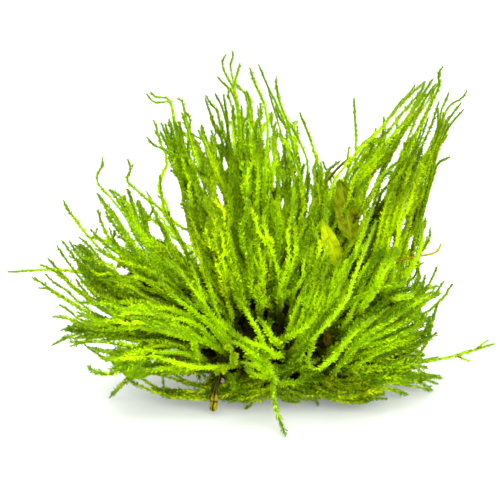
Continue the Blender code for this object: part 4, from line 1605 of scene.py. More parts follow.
LEFT_TUFTS = (
    Tuft(
        "left_up_inner", 3.2, ((-8.5, -13, 1), (-14.5, -2, 1), (-19, 7.5, 2), (-22.5, 18.5, 3)), SLIM,
        Shade.DEEP, tint=Tint.YELLOW, crowd=0.0, taper=0.7, tallest=0.62, ropes=(((-9, -13, 1),
        (-14, -7, 1), (-19.2, -1.6, 1), (-20.5, 1.1, 1), (-22.3, 4.7, 1), (-23.9, 7.9, 1)), ((-8, -12, 1),
        (-12.5, -6, 1), (-16, -1.6, 1), (-17.4, 2, 1), (-19.2, 6, 1), (-20.5, 9.7, 1)), ((-8.5, -13, 1),
        (-14, -3.5, 1), (-18, 2.5, 1.5), (-20.5, 8, 2), (-21.8, 12, 2.5), (-22.3, 15, 3), (-22.5, 18.5, 3)),
        ((-10, -12, 2), (-17, -3, 2), (-19.5, 0.5, 2), (-21.5, 5, 2), (-22.5, 6.8, 2)))
    ),
    Tuft(
        "left_up_curly", 3.2, ((-13, -8, 9), (-18, 0, 10), (-25, 10.5, 11), (-30.5, 22, 11)), SLIM,
        Shade.DEEP, crowd=0.0, taper=0.7, tallest=0.45, ropes=(((-12, -10, 8), (-17, -6, 8),
        (-23.7, 0.2, 8), (-26.4, 4.2, 8), (-28.2, 8.3, 8), (-29.5, 12, 8), (-30.4, 15.1, 8)), ((-12, -9, 9),
        (-17, -5, 9), (-23.7, 1.1, 9), (-25.9, 5.1, 9), (-26.8, 8.3, 9), (-27.5, 11.2, 9)), ((-13, -8, 9),
        (-16, -2, 10), (-18.8, 4, 10), (-20.5, 8, 10.5), (-22.5, 10.5, 11), (-25, 12.2, 11),
        (-27.5, 14.2, 11), (-29.5, 16, 11), (-30.8, 17, 11), (-30.7, 18.2, 11), (-29.7, 20.2, 11),
        (-30.5, 22.5, 11)), ((-12, -10, 8), (-18, -6, 8), (-23.2, -2, 8), (-25.5, 1.2, 8), (-27.8, 6.5, 8),
        (-29, 9.5, 8), (-29.8, 13, 8), (-30.8, 15.2, 8)), ((-12, -10, 8), (-17.5, -5, 8), (-22.5, 0, 8),
        (-24.5, 3, 8), (-26.2, 7, 8), (-27.5, 11.2, 8)), ((-12, -9, 7), (-20, -2, 7), (-22.5, 1.2, 7),
        (-25, 4.5, 7), (-26, 6.5, 7), (-25.7, 8, 7), (-24.5, 9.2, 7), (-24.2, 10.5, 7)))
    ),
    Tuft(
        "left_up_outer", 3.6, ((-10, -11, -4), (-21, -3, -6), (-30.5, 7.5, -6), (-37, 23, -5)), SLIM,
        Shade.DEEP, crowd=0.3, taper=0.7, tallest=0.55, ropes=(((-10, -11, -4), (-17, -6, -5),
        (-25, -1.6, -5), (-28.6, 3.3, -5), (-30.5, 7.5, -5), (-32.7, 12, -5), (-35, 14.8, -5)),
        ((-10, -12, -4), (-18, -7, -4), (-26.8, -1.2, -4), (-30.9, 3.3, -4), (-33.6, 7.5, -4),
        (-36.3, 11, -4), (-38.1, 14, -4)), ((-10, -12, -6), (-18, -8, -7), (-26.8, -2.5, -7),
        (-30.4, 1.1, -7), (-33.1, 5.1, -7), (-35.8, 9, -7)), ((-10, -11, -3), (-17, -5, -3), (-27.3, 2, -3),
        (-29.5, 6, -3), (-30.9, 9.7, -3), (-32.2, 12.4, -3)), ((-10, -11, -4), (-20, -4.5, -6),
        (-25, 0, -6), (-29.2, 5.5, -6), (-32, 9.5, -6), (-33.8, 11.8, -6), (-35.5, 13.8, -6),
        (-38, 16.5, -5.5), (-38.2, 18.8, -5), (-36.8, 21.2, -5), (-37, 22.8, -5)), ((-10, -11, -3),
        (-18, -5, -5), (-23.7, -1.2, -5), (-27.5, 3.7, -5), (-29.7, 8, -5), (-30.5, 10.7, -5),
        (-32.5, 13.5, -5), (-35, 15, -5)), ((-10, -12, -5), (-22.5, -5.5, -7), (-27.5, -1.7, -7),
        (-30, 1.2, -7), (-31.2, 4.5, -7), (-34.2, 9.5, -7), (-36.2, 11.5, -7), (-38, 14, -7)),
        ((-11, -12, -5), (-22, -6, -6), (-28, 0, -6), (-31.2, 3.7, -6), (-33.2, 5.5, -6), (-35, 7.5, -6),
        (-36, 9.2, -6)), ((-10, -11, -4), (-19, -4, -4), (-25, 2, -4), (-28.5, 6.5, -4), (-31, 10, -4),
        (-32.8, 12.8, -4)))
    ),
    Tuft(
        "left_up_low", 3.4, ((-14, -11, -1), (-25, -4, 0), (-36, 3.5, 2), (-46.5, 12, 4)), SLIM, Shade.DEEP,
        crowd=1.5, taper=0.6, tallest=0.78, ropes=(((-14, -11, -1), (-25, -6, 0), (-31.2, -2, 1),
        (-34.2, 1, 2), (-35.7, 3.7, 2), (-37.2, 7, 2), (-38, 10, 2)), ((-13, -11, -1), (-25, -5, 0),
        (-31, -1, 0), (-34, 2.5, 0), (-33.7, 4.7, 0)), ((-14, -12, 0), (-27, -6, 1), (-36, -1, 2),
        (-39.5, 2.5, 3), (-40.8, 3.8, 3), (-43.5, 7.5, 4), (-45.5, 10, 4), (-46.5, 12, 4)), ((-14, -12, 0),
        (-26, -5, 0), (-34.5, 0, 1), (-38, 3, 1), (-39.8, 5, 1))), beds=(Bed(((-20, -7.5, 6),
        (-25, -4.8, 5), (-30, -2.4, 5), (-35, -0.6, 5)), 9, 1.1), Bed(((-16, -12.8, 0), (-21, -11.8, -2),
        (-26, -10.6, -3), (-30, -9.4, -3)), 8, 1.1))
    ),
    Tuft(
        "left_top", 3.4, ((-14, -16, -9), (-25.5, -9.5, -10), (-38, -3.5, -10), (-47, 2.5, -9)), SLIM,
        Shade.DEEP, tint=Tint.YELLOW, crowd=1.3, taper=0.3, tallest=0.98, ropes=(((-14, -20, -9),
        (-25, -18, -10), (-34, -13.4, -10), (-38.1, -9.7, -10), (-41.2, -5.7, -10), (-44.4, -1.2, -9),
        (-46.9, 2.2, -9)), ((-14, -19, -8), (-22, -17.5, -9), (-30, -14, -9), (-35.8, -9.7, -9),
        (-39.4, -5.7, -9), (-42.6, -1.6, -9), (-45.1, 2.2, -9)), ((-14, -20, -8), (-22, -19, -8),
        (-31, -16.5, -8), (-38.1, -12, -8), (-40.8, -8.9, -8), (-43.5, -5.7, -8), (-46.2, -2.1, -8),
        (-48.2, 1, -8)), ((-14, -20.5, -8), (-22, -20, -8), (-32, -17.5, -8), (-39.5, -13.4, -8),
        (-43, -10.2, -8), (-45.7, -7.5, -8), (-48.5, -4.3, -7), (-50.5, -2.1, -7)), ((-14, -20, -7),
        (-22, -20, -7), (-32, -17, -7), (-40, -13, -7), (-44, -9.7, -7), (-47.1, -6.6, -7),
        (-49.8, -4.7, -7), (-52.3, -3.7, -7)), ((-12, -19, -8), (-18, -19, -10), (-26, -16, -11),
        (-32.2, -11.6, -11), (-35.4, -8, -11), (-38.5, -3.9, -11), (-41.2, -1.2, -11)), ((-13, -19, -7),
        (-20, -17, -8), (-29, -11.5, -8), (-34, -6.5, -8), (-37.5, -2.5, -8), (-40, 0.8, -8),
        (-42.5, 3, -8))), beds=(Bed(((-15, -20, -7), (-26, -17, -9), (-34, -12, -9), (-39, -7, -9),
        (-44, -1, -9)), 12, 1.4, Shade.MID), Bed(((-20, -18, -5), (-30, -12, -6), (-36, -6.5, -6),
        (-41, -1.5, -6), (-44.5, 1.5, -6)), 12, 1.4))
    ),
    Tuft(
        "left_mid", 3.2, ((-14, -19, -3), (-25.5, -15, -2), (-39.5, -11, 1), (-54, -7, 3)), SLIM,
        Shade.DEEP, crowd=0.7, taper=0.5, tallest=0.72, ropes=(((-16, -21, -3), (-26, -20, -3),
        (-36, -17, -2), (-42.6, -13, -1), (-45.7, -10.2, 0), (-48.5, -8.4, 0), (-51, -6.2, 0)),
        ((-16, -22, -3), (-26, -21, -3), (-36, -18, -2), (-42.6, -14.5, -1), (-45.7, -12.5, 0),
        (-48.9, -10.7, 1), (-51.6, -8.4, 1), (-54.3, -7, 1)), ((-16, -22, -4), (-26, -21.5, -4),
        (-36, -18.5, -3), (-43, -14, -2), (-47.1, -11.6, -1), (-50.3, -9.7, -1), (-52.7, -9.5, -1)),
        ((-15, -20, -2), (-25, -18, -2), (-33, -14.5, -2), (-38, -11, -2), (-41.5, -8, -1))),
        beds=(Bed(((-15, -21, -3), (-25, -20, -4), (-34, -17, -4), (-41, -13, -3)), 9, 1.2),)
    ),
    Tuft(
        "left_mid_front", 3.2, ((-9.5, -19, -12), (-22.5, -17, -18), (-36, -16, -19), (-47.5, -13.5, -18)),
        FULL, Shade.MID, taper=0.25, tallest=0.98, strays=(((-35, -20), (-41.2, -19.2), (-42.8, -18)),
        ((-32, -20), (-37.5, -19.5), (-40.5, -18), (-43.2, -17), (-45, -15.2), (-47.5, -13.8)))
    ),
    Tuft(
        "left_low", 3.2, ((-11, -22, -7), (-25, -22, -10), (-38.5, -21.5, -10), (-49.5, -23.5, -9)),
        Leafage.PLAIN, Shade.DEEP, taper=0.25, tallest=0.98, strays=(((-38, -20), (-43.8, -21.2),
        (-47, -22.5), (-49.5, -23.8)), ((-36, -20.5), (-40, -20), (-43.8, -19.2)))
    ),
    Tuft(
        "left_low_front", 3.2, ((-9, -24.5, -14), (-21, -25, -20), (-32.5, -25.5, -22), (-42.5, -23, -21)),
        FULL, Shade.MID, taper=0.25, tallest=0.98, strays=(((-36, -23), (-42.5, -23), (-45, -23)),
        ((-28, -27), (-34.5, -26.8), (-36.2, -27), (-38.8, -25.5), (-41.2, -23.8))),
        ropes=(((0, -27.5, -14), (-3.2, -28.7, -19), (-7.5, -29.2, -21), (-13.7, -29.2, -22),
        (-18.7, -28, -22), (-24, -26.5, -22), (-30, -26.2, -21), (-35.5, -26.7, -20)), ((-9, -26.5, -15),
        (-14, -28.5, -18), (-20, -29.3, -19), (-25, -30, -19), (-28, -29.5, -18)), ((-9, -27.5, -15),
        (-14, -29.2, -17), (-19, -30, -18), (-23, -30.2, -17), (-25.5, -29.8, -16)), ((-8, -27, -15),
        (-13, -29.2, -18), (-18, -30.2, -18), (-22, -30.4, -18))), beds=(Bed(((-5, -27, -12),
        (-12, -27.5, -13), (-19, -27.5, -13), (-27, -27, -12)), 10, 1.0), Bed(((-20, -25, -16),
        (-27, -25.5, -17), (-33, -25.5, -18), (-38, -24.8, -18)), 6, 0.9))
    ),
    Tuft(
        "left_floor", 2.0, ((-5, -32, -12), (-9, -34, -16), (-21, -35.5, -14), (-34.5, -36.5, -9)),
        Leafage.PLAIN, Shade.MID, tint=Tint.OLIVE, crowd=0.0, strays=(((-21, -30), (-21.8, -31.2),
        (-21.5, -35)), ((-29, -31), (-30.8, -32), (-33.2, -35), (-35, -36.8))), ropes=(((-5, -34.5, -16),
        (-10, -36.6, -17), (-16.2, -36.7, -16), (-22.5, -35.8, -14), (-25, -35, -13), (-27.5, -34, -12),
        (-30.7, -32.2, -11)), ((-5, -34, -15), (-9, -36.2, -16), (-15, -36.1, -15), (-21, -35.3, -14),
        (-24.5, -34.6, -13)), ((-4, -35, -16), (-8, -36.9, -17), (-14, -37.2, -17), (-19, -36.7, -16),
        (-22, -36.3, -15)), ((-6, -32.5, -14), (-8.8, -33.4, -15), (-12.5, -33.4, -15), (-16.2, -33, -14),
        (-21.2, -31.5, -12), (-25, -30.2, -11)), ((-5, -32, -14), (-9, -33.9, -15), (-14, -33.7, -15),
        (-18, -32.7, -14)), ((-14, -29, -10), (-20, -30.5, -10), (-26, -31, -10), (-31, -33, -10),
        (-34.5, -36, -9))), beds=(Bed(((-2, -30, -12), (-5, -33.5, -15), (-9, -34.5, -15),
        (-13, -34, -13)), 6, 0.9), Bed(((4, -31, -12), (-3, -35, -15), (-9, -36.3, -15)), 8, 1.0),
        Bed(((0, -33, -15), (-1.5, -36, -17), (-2.7, -38, -18)), 7, 0.8, Shade.MID), Bed(((-8, -29, -13),
        (-14, -29.6, -14), (-20, -29.3, -13), (-26, -29, -12)), 6, 0.8), Bed(((-5, -32, -14),
        (-11, -35.8, -16), (-17, -36.4, -15), (-23, -35.4, -14)), 5, 0.6))
    ),
)

BACK_TUFTS = (
    Tuft(
        "back_top", 4.2, ((2, 12, 28), (4, 21, 42), (7, 29, 62)), SLIM, drawn=False, crowd=1.5,
        fullness=1.9, taper=0.0, tallest=1.0, skirt=30, skirt_spread=8.0
    ),
    Tuft(
        "back_left", 4.2, ((-14, 10, 22), (-24, 23, 29), (-34, 33, 42)), SLIM, drawn=False, crowd=1.5,
        fullness=1.9, taper=0.0, tallest=1.0, skirt=36, skirt_spread=9.0,
        patches=(Patch((-30, 11, 26), 26, 3.0), Patch((-20, 8, 24), 16, 4.0))
    ),
    Tuft(
        "back_right", 4.2, ((18, 9, 17), (27, 23, 28), (37, 33, 44)), SLIM, Shade.BRIGHT, drawn=False,
        crowd=1.5, fullness=1.9, taper=0.0, tallest=1.0, skirt=40, skirt_spread=9.0
    ),
    Tuft(
        "back_mid", 4.6, ((4, 12, 16), (2, 26, 24), (-1, 42, 32)), SLIM, Shade.BRIGHT, drawn=False,
        crowd=1.5, fullness=1.8, taper=0.0, tallest=1.0, skirt=40, skirt_spread=9.0,
        patches=(Patch((8, 12, 12), 22, 6.0),)
    ),
    Tuft(
        "back_low_left", 4.2, ((-6, 12, 11), (-18, 25, 12), (-30, 35, 5)), SLIM, drawn=False, crowd=1.5,
        fullness=1.7, taper=0.0, tallest=1.0, skirt=40, skirt_spread=9.0,
        patches=(Patch((-17, 4, 12), 24, 5.0), Patch((-6, 12, 8), 16, 5.0))
    ),
    Tuft(
        "back_low_right", 4.2, ((18, 12, 9), (24, 25, 11), (30, 37, 5)), SLIM, drawn=False, crowd=1.5,
        fullness=1.7, taper=0.0, tallest=1.0, skirt=44, skirt_spread=10.0,
        patches=(Patch((36, 6, 8), 34, 4.5), Patch((27, 11, 8), 18, 5.0))
    ),
)


@dataclass(frozen=True)
class LoneShoot:
    """One long shoot that stands clear, with a few branches of its own."""

    name: str
    route: tuple[Point, ...]
    leaf: float = 0.72
    stand: float = 36.0
    core: float = 0.34
    shade: Shade = Shade.MID
    tint: Tint = Tint.PLAIN
    twin: float = 0.5
    branches: tuple[tuple[Point, ...], ...] = ()

    def build(self, finish: bpy.types.Material, seed: int) -> bpy.types.Object:
        """Build the shoot and put it in place of its node.

        Args:
            finish: the moss's material.
            seed: what its random numbers start from.

        Returns:
            The piece.
        """
        luck = np.random.default_rng(seed)
        mould = Mould()
        places = [EASEL.place(*point) for point in self.route]
        place, outward = GROUND.nearest(places[0])
        places[0] = place - ROOT_DEPTH * outward
        line = smooth_line(places, 0.8)
        tone = self.shade.value
        shoots = [Shoot(line, self.leaf, self.stand, self.core, tone)]
        beside = line[: int(len(line) * self.twin)] + luck.normal(0, 0.35, 3)
        shoots.append(Shoot(beside, self.leaf * 0.8, self.stand, self.core * 0.8, tone - 0.1))
        for branch in self.branches:
            way = smooth_line([EASEL.place(*point) for point in branch], 0.8)
            shoots.append(Shoot(way, self.leaf * 0.85, self.stand, self.core * 0.85, tone))
        for shoot in shoots:
            shoot.line[:, 2] = np.maximum(shoot.line[:, 2], 0.5)
            LEAFER.dress(mould, shoot, luck)
        thing = mould.cast(f"{self.name}_leafy", finish)
        settle(thing, f"moss_{self.name}")
        return thing


LONE_SHOOTS = (
    LoneShoot(
        "shoot_upright", ((19, -3, 3), (24.5, 11, 4), (26.5, 25, 4), (26, 38, 4)), branches=(((24.6, 20, 4),
        (24.5, 23.2, 4), (24.8, 25.8, 4)),)
    ),
    LoneShoot("shoot_far_left", ((-15, -14, -5), (-32.5, -8, -4), (-47, -5, -2), (-60.5, -5.5, -2))),
    LoneShoot(
        "shoot_right_long", ((38, -26.5, 4), (42.5, -28, 4), (51, -26.5, 4), (61, -23.5, 4)),
        branches=(((51, -26.6, 4), (53, -25.8, 4), (55.2, -25, 4)), ((51.8, -26.6, 4), (53.5, -27.3, 4),
        (55, -27.8, 4)), ((56.5, -25, 4), (58.5, -23.2, 4), (59.5, -22.6, 4)))
    ),
    LoneShoot(
        "shoot_front", ((6.5, -30, -15), (5.7, -32, -22.5), (6.3, -38.7, -27.5),
        (8.8, -46, -31.5)), 1.1, 40.0, 0.42, Shade.DEEP
    ),
)


# Wood, stems and leaf scraps


@dataclass(frozen=True)
class Limb:
    """One limb of the driftwood: knobbly and fluted, with both ends rounded and closed."""

    name: str
    route: tuple[Point, ...]
    radii: tuple[float, ...]
    around: int = 56
    ring_spacing: float = 0.75
    knobble: float = 0.1
    flutes: int = 3
    lump_size: float = 7.0
    bark: float = 0.035
    slot: str = "driftwood"
    lit_brown: bool = False

    def _ring_shape(self, middle: np.ndarray, outward: np.ndarray, share: float) -> np.ndarray:
        """Weather one point of the limb.

        Args:
            middle: the point of the middle line.
            outward: the plain way out to the surface.
            share: how far along the limb it is.

        Returns:
            The weathered place.
        """
        place = middle + outward
        angle = math.atan2(outward[2], outward[1])
        swell = math.sin(self.flutes * angle + place[0] / self.lump_size)
        lump = noise.noise(Vector(place) / self.lump_size)
        ridges = noise.noise(Vector((math.cos(angle) * 5, math.sin(angle) * 5, share * 3)))
        grain = noise.noise(Vector((math.cos(angle) * 14, math.sin(angle) * 14, share * 9)))
        size = 1 + self.knobble * (0.4 * swell + lump) + self.bark * (ridges + 0.6 * grain)
        return middle + outward * size

    def build(self, finish: bpy.types.Material) -> bpy.types.Object:
        """Build the limb and put it in place of its node.

        Args:
            finish: its material.

        Returns:
            The piece.
        """
        line = smooth_line([np.array(point, float) for point in self.route], self.ring_spacing)
        share = np.linspace(0, 1, len(line))
        radius = np.interp(share, np.linspace(0, 1, len(self.radii)), self.radii)
        rounded = np.sqrt(np.clip(np.minimum(share, 1 - share) * len(line) / 2.2, 0.02, 1))
        _, side, third = cross_frame(line)
        rings = np.empty((len(line), self.around, 3))
        for row in range(len(line)):
            for place in range(self.around):
                angle = 2 * math.pi * place / self.around
                way = side[row] * math.cos(angle) + third[row] * math.sin(angle)
                rings[row, place] = self._ring_shape(line[row], way * radius[row] * rounded[row], share[row])
        rings[..., 2] = np.maximum(rings[..., 2], 0.0)
        squares = tube_faces(len(line), self.around)
        row = squares // self.around
        turn = (squares % self.around) / self.around
        turn[:, 1:3] = np.where(turn[:, 1:3] == 0, 1.0, turn[:, 1:3])
        spots = np.stack((turn, share[row]), axis=-1)
        mould = Mould()
        faces = np.concatenate((squares[:, (0, 1, 2)], squares[:, (0, 2, 3)]))
        mould.take(rings.reshape(-1, 3), faces, np.concatenate((spots[:, (0, 1, 2)], spots[:, (0, 2, 3)])))
        self._cap(mould, rings)
        thing = mould.cast(f"{self.name}_bark", finish, smooth=True)
        settle(thing, self.name)
        return thing

    def _cap(self, mould: Mould, rings: np.ndarray) -> None:
        """Close both ends of the limb.

        Args:
            mould: where the ends go.
            rings: the limb's rings.
        """
        for ring, high in ((rings[0], 0.004), (rings[-1], 0.996)):
            spots = np.vstack((ring, ring.mean(axis=0)))
            here = np.arange(self.around)
            beside = (here + 1) % self.around
            faces = np.stack((beside, here, np.full(self.around, self.around)), axis=-1)
            if high > 0.5:
                faces = faces[:, (1, 0, 2)]
            turn = here / self.around
            shift = 0.02 if high < 0.5 else -0.02
            places = np.stack(
                (
                    np.stack((turn, np.full(self.around, high)), axis=-1),
                    np.stack((turn + 1 / self.around, np.full(self.around, high)), axis=-1),
                    np.stack((turn + 0.5 / self.around, np.full(self.around, high + shift)), axis=-1),
                ),
                axis=1,
            )
            mould.take(spots, faces, places)


LIMBS = (
    Limb(
        "driftwood_trunk", ((-14, 4, 13.5), (-6, 2, 11.5), (4, 0, 10), (15, 0, 9.5), (26, 2, 9),
        (35, 6, 8)), (6.5, 10.5, 12, 12, 10, 6), 84
    ),
    Limb(
        "driftwood_fork_left", ((-6, 3, 12), (-16, 5, 20), (-23, 8, 24), (-31, 11, 27)), (7, 5.4, 4.2, 2.6)
    ),
    Limb(
        "driftwood_fork_right", ((14, -3, 8), (20, -7, 16), (24, -8, 24), (28, -7, 33)), (5, 4.2, 3.2, 2),
        lit_brown=True
    ),
    Limb("driftwood_stub", ((4, 3, 14), (3, 8, 24), (1, 11, 31)), (5.5, 4.2, 3)),
)
TWIG = Limb(
    "driftwood_twig", ((-8, -4, 9), (-8.4, -12, 10.5), (-9.2, -17, 8.8), (-9.9, -18.4, 5.6),
    (-10.4, -19, 1.1)), (1.4, 1.2, 1.0, 0.85, 0.7, 0.55, 0.45, 0.42, 0.85, 1.0, 0.95), 28, 0.3, slot="twig"
)


@dataclass(frozen=True)
class BareStem:
    """A thin bare stem with small joints along it."""

    name: str
    route: tuple[Point, ...]
    radius: float
    slot: str
    sides: int = 10
    joint_every: float = 1.6

    def build(self, finish: bpy.types.Material) -> bpy.types.Object:
        """Build the stem and put it in place of its node.

        Args:
            finish: its material.

        Returns:
            The piece.
        """
        line = smooth_line([EASEL.place(*point) for point in self.route], 0.25)
        along = length_along(line)
        share = along / along[-1]
        _, side, third = cross_frame(line)
        joints = np.exp(-((((along / self.joint_every) % 1) - 0.5) / 0.12) ** 2)
        ends = np.clip(np.minimum(share, 1 - share) * 14, 0.15, 1)
        width = self.radius * (0.85 + 0.4 * joints) * ends
        angles = np.arange(self.sides) * 2 * math.pi / self.sides
        rings = (
            line[:, None]
            + side[:, None] * np.cos(angles)[None, :, None] * width[:, None, None]
            + third[:, None] * np.sin(angles)[None, :, None] * width[:, None, None]
        )
        squares = tube_faces(len(line), self.sides)
        row = squares // self.sides
        turn = (squares % self.sides) / self.sides
        turn[:, 1:3] = np.where(turn[:, 1:3] == 0, 1.0, turn[:, 1:3])
        spots = np.stack((turn, share[row]), axis=-1)
        mould = Mould()
        faces = np.concatenate((squares[:, (0, 1, 2)], squares[:, (0, 2, 3)]))
        mould.take(rings.reshape(-1, 3), faces, np.concatenate((spots[:, (0, 1, 2)], spots[:, (0, 2, 3)])))
        thing = mould.cast(f"{self.name}_bare", finish, smooth=True)
        settle(thing, self.name)
        return thing


STEM_DARK = BareStem(
    "stem_dark", ((15.5, 12.5, 0), (19.5, 17.5, 0), (22, 20.5, 0), (25.5, 23.5, 0)), 0.35, "dead_stem"
)
STEM_PALE = BareStem(
    "stem_pale", ((35.5, -2.8, -4.5), (39.5, -2, -6), (42.5, -1.5, -6), (46.5, -0.5, -6), (48, 2, -6)), 0.3,
    "pale_stem",
)


@dataclass(frozen=True)
class LeafScrap:
    """A scrap of thin broad leaf: pointed at both ends, cupped and wavy, with a real thickness."""

    name: str
    width: float
    base: Point
    tip: Point
    cup: float = 0.9
    wave: float = 0.35
    thickness: float = 0.14
    rows: int = 34
    columns: int = 13
    ragged: float = 0.05

    def build(self, finish: bpy.types.Material) -> bpy.types.Object:
        """Build the leaf and put it in place of its node.

        Args:
            finish: its material.

        Returns:
            The piece.
        """
        base = EASEL.place(*self.base)
        tip = EASEL.place(*self.tip)
        ahead = unit(tip - base)
        toward_eye = unit(np.array(EASEL.eye()) / MM - base)
        beside = unit(np.cross(ahead, toward_eye))
        over = np.cross(beside, ahead)
        along = np.linspace(0, 1, self.rows)[:, None]
        across = np.linspace(-1, 1, self.columns)[None, :]
        half = self.width / 2 * np.sin(math.pi * along**0.8) ** 0.7
        half = half * (1 + self.ragged * np.sin(along * 41) * np.sign(across)) + 0.12
        bend = self.cup * (across**2 - 0.4) - 1.2 * (along - 0.5) ** 2
        ripple = self.wave * np.sin(along * 13 + across * 2) * np.abs(across)
        length = np.linalg.norm(tip - base)
        sheet = (
            base
            + ahead * (along * length + 0 * across)[..., None]
            + beside * (half * across)[..., None]
            + over * (bend + ripple)[..., None]
        )
        mould = Mould()
        for shift, flip in ((0.5, False), (-0.5, True)):
            self._face(mould, sheet + over * self.thickness * shift, flip)
        self._rim(mould, sheet, over)
        thing = mould.cast(f"{self.name}_blade", finish, smooth=True)
        settle(thing, self.name)
        return thing

    def _face(self, mould: Mould, sheet: np.ndarray, flip: bool) -> None:
        """Add one face of the leaf.

        Args:
            mould: where it goes.
            sheet: its grid of places.
            flip: whether it faces the other way.
        """
        row, place = np.meshgrid(np.arange(self.rows - 1), np.arange(self.columns - 1), indexing="ij")
        here = (row * self.columns + place).ravel()
        squares = np.stack((here, here + 1, here + self.columns + 1, here + self.columns), axis=-1)
        if flip:
            squares = squares[:, ::-1]
        spots = np.stack(
            (squares // self.columns / (self.rows - 1), squares % self.columns / (self.columns - 1)), axis=-1
        )
        faces = np.concatenate((squares[:, (0, 1, 2)], squares[:, (0, 2, 3)]))
        mould.take(sheet.reshape(-1, 3), faces, np.concatenate((spots[:, (0, 1, 2)], spots[:, (0, 2, 3)])))

    def _rim(self, mould: Mould, sheet: np.ndarray, over: np.ndarray) -> None:
        """Close the leaf's edge all round.

        Args:
            mould: where it goes.
            sheet: the leaf's grid of places.
            over: the way that its thickness runs.
        """
        edge = np.concatenate((sheet[:, 0], sheet[-1, 1:], sheet[-2::-1, -1], sheet[0, -2:0:-1]))
        count = len(edge)
        spots = np.vstack((edge + over * self.thickness / 2, edge - over * self.thickness / 2))
        here = np.arange(count)
        beside = (here + 1) % count
        squares = np.stack((here, beside, beside + count, here + count), axis=-1)
        along = np.abs(np.linspace(-1, 1, count))
        places = np.stack((along[squares % count], 0.02 + 0.02 * (squares // count)), axis=-1)
        faces = np.concatenate((squares[:, (0, 1, 2)], squares[:, (0, 2, 3)]))
        mould.take(spots, faces, np.concatenate((places[:, (0, 1, 2)], places[:, (0, 2, 3)])))


LEAF_BRIGHT = LeafScrap("leaf_bright", 3.8, (22, -4, -18), (18.2, 7.2, -19))
LEAF_OLIVE = LeafScrap("leaf_olive", 5.2, (25.5, 2.5, -12), (22.5, 17.5, -11))
LEAF_FILM = LeafScrap("leaf_film", 6.4, (-24.2, -30, -11), (-35, -27.2, -11))


# The whole


@dataclass(frozen=True)
class Studio:
    """The pale floor, the soft light and the camera."""

    floor_half: float = 3.0
    sky: float = 1.5
    lens: float = 100.8
    sensor: float = 36.0
    key_place: Point = (-0.14, -0.12, 0.62)
    key_power: float = 5.0
    key_size: float = 0.45
    fill_place: Point = (0.2, -0.5, 0.25)
    fill_power: float = 4.8
    fill_size: float = 0.5
    top_place: Point = (0.06, 0.35, 0.55)
    top_power: float = 4.0
    top_size: float = 0.7

    def build(self) -> None:
        """Set up the floor, the light and the camera."""
        self._floor()
        self._light("key_light", Vector(self.key_place), self.key_power, self.key_size)
        self._light("fill_light", Vector(self.fill_place), self.fill_power, self.fill_size)
        self._light("top_light", Vector(self.top_place), self.top_power, self.top_size)
        world = bpy.data.worlds.new("soft_sky")
        world.use_nodes = True
        sky = world.node_tree.nodes["Background"]
        sky.inputs["Color"].default_value = (1.0, 1.0, 1.0, 1.0)
        sky.inputs["Strength"].default_value = self.sky
        bpy.context.scene.world = world
        bpy.context.scene.view_settings.view_transform = "Standard"
        self._camera()

    def _floor(self) -> None:
        """Lay the floor."""
        half = self.floor_half
        mesh = bpy.data.meshes.new("floor")
        corners = [(-half, -half, 0), (half, -half, 0), (half, half, 0), (-half, half, 0)]
        mesh.from_pydata(corners, [], [(0, 1, 2, 3)])
        mesh.materials.append(PaperFinish().make())
        floor = bpy.data.objects.new("floor", mesh)
        bpy.context.scene.collection.objects.link(floor)

    def _light(self, name: str, place: Vector, power: float, size: float) -> None:
        """Hang one soft light that faces the clump.

        Args:
            name: its name.
            place: where it hangs, in metres.
            power: its power in watts.
            size: its side in metres.
        """
        lamp = bpy.data.lights.new(name, "AREA")
        lamp.energy = power
        lamp.shape = "SQUARE"
        lamp.size = size
        holder = bpy.data.objects.new(name, lamp)
        holder.location = place
        holder.rotation_mode = "QUATERNION"
        holder.rotation_quaternion = (Vector((0, 0, 0.03)) - place).to_track_quat("-Z", "Y")
        bpy.context.scene.collection.objects.link(holder)

    def _camera(self) -> None:
        """Set the camera at the eye."""
        lens = bpy.data.cameras.new("camera")
        lens.sensor_width = self.sensor
        lens.lens = self.lens
        lens.clip_start = 0.01
        lens.clip_end = 20.0
        camera = bpy.data.objects.new("camera", lens)
        camera.location = EASEL.eye()
        camera.rotation_mode = "QUATERNION"
        away = Vector((0, math.cos(EASEL.tilt), -math.sin(EASEL.tilt)))
        camera.rotation_quaternion = away.to_track_quat("-Z", "Y")
        bpy.context.scene.collection.objects.link(camera)
        bpy.context.scene.camera = camera


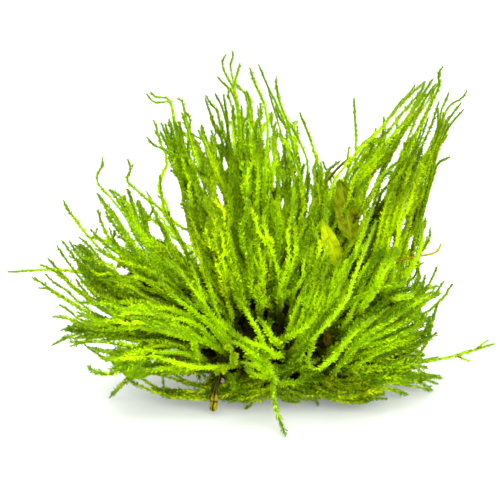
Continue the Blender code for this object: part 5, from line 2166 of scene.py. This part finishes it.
@dataclass
class Clump:
    """The whole clump: wood, moss, stems and leaf scraps."""

    first_seed: int = 4100
    pieces: list[bpy.types.Object] = field(default_factory=list)

    def build(self) -> None:
        """Build every piece in order."""
        self._wood()
        self._moss()
        self._scraps()

    def _wood(self) -> None:
        """Build the driftwood and its twig."""
        dark = BarkFinish().make()
        # A lighter copy of the bark for the right fork, brightened as painted light because that limb lies in
        # shade.
        lit_brown = BarkFinish(
            "wet_brown_driftwood_painted_light", (0.3, 0.24, 0.008), (0.11, 0.085, 0.004), (0.012, 0.008, 0.001),
            (0.15, 0.19, 0.003), 60.0, 24.0,
        ).make()
        for limb in LIMBS:
            self.pieces.append(limb.build(lit_brown if limb.lit_brown else dark))
        yellow = BarkFinish(
            "wet_twig", (0.56, 0.48, 0.005), (0.2, 0.17, 0.003), (0.006, 0.004, 0.001),
            (0.16, 0.19, 0.003), 9.0, 9.0, amber_end_from=0.81,
        )
        self.pieces.append(TWIG.build(yellow.make()))

    def _moss(self) -> None:
        """Build every tuft and lone shoot."""
        finishes = {tint: MossFinish(*tint.value).make() for tint in Tint}
        growth = (*TOP_TUFTS, *RIGHT_TUFTS, *FRONT_TUFTS, *LEFT_TUFTS, *BACK_TUFTS, *LONE_SHOOTS)
        for number, tuft in enumerate(growth):
            self.pieces.append(tuft.build(finishes[tuft.tint], self.first_seed + number))

    def _scraps(self) -> None:
        """Build the bare stems and the leaf scraps."""
        dead = BarkFinish(
            "dead_stem", (0.2, 0.15, 0.005), (0.1, 0.07, 0.003), (0.03, 0.02, 0.001),
            (0.12, 0.13, 0.003), 6.0, 8.0
        )
        self.pieces.append(STEM_DARK.build(dead.make()))
        pale = BarkFinish(
            "pale_stem", (0.44, 0.35, 0.003), (0.3, 0.235, 0.002), (0.1, 0.07, 0.001),
            (0.26, 0.28, 0.002), 6.0, 8.0
        )
        self.pieces.append(STEM_PALE.build(pale.make()))
        bright = ScrapFinish(
            "bright_leaf", (0.46, 0.56, 0.002), (0.58, 0.67, 0.003), (0.31, 0.35, 0.002), (0.68, 0.78, 0.002)
        )
        self.pieces.append(LEAF_BRIGHT.build(bright.make()))
        olive = ScrapFinish(
            "olive_leaf", (0.19, 0.27, 0.0005), (0.28, 0.35, 0.001), (0.11, 0.1, 0.0005), (0.36, 0.48, 0.0005)
        )
        self.pieces.append(LEAF_OLIVE.build(olive.make()))
        film = ScrapFinish(
            "film_leaf", (0.29, 0.49, 0.003), (0.4, 0.6, 0.004), (0.14, 0.27, 0.003), (0.5, 0.8, 0.002)
        )
        self.pieces.append(LEAF_FILM.build(film.make()))


def main() -> None:
    """Build the clump and the studio round it."""
    logging.basicConfig(level=logging.INFO, format="%(message)s")
    clump = Clump()
    clump.build()
    total = sum(len(piece.data.polygons) for piece in clump.pieces)
    LOG.info("all pieces: %d triangles", total)
    Studio().build()


if __name__ == "__main__":
    main()
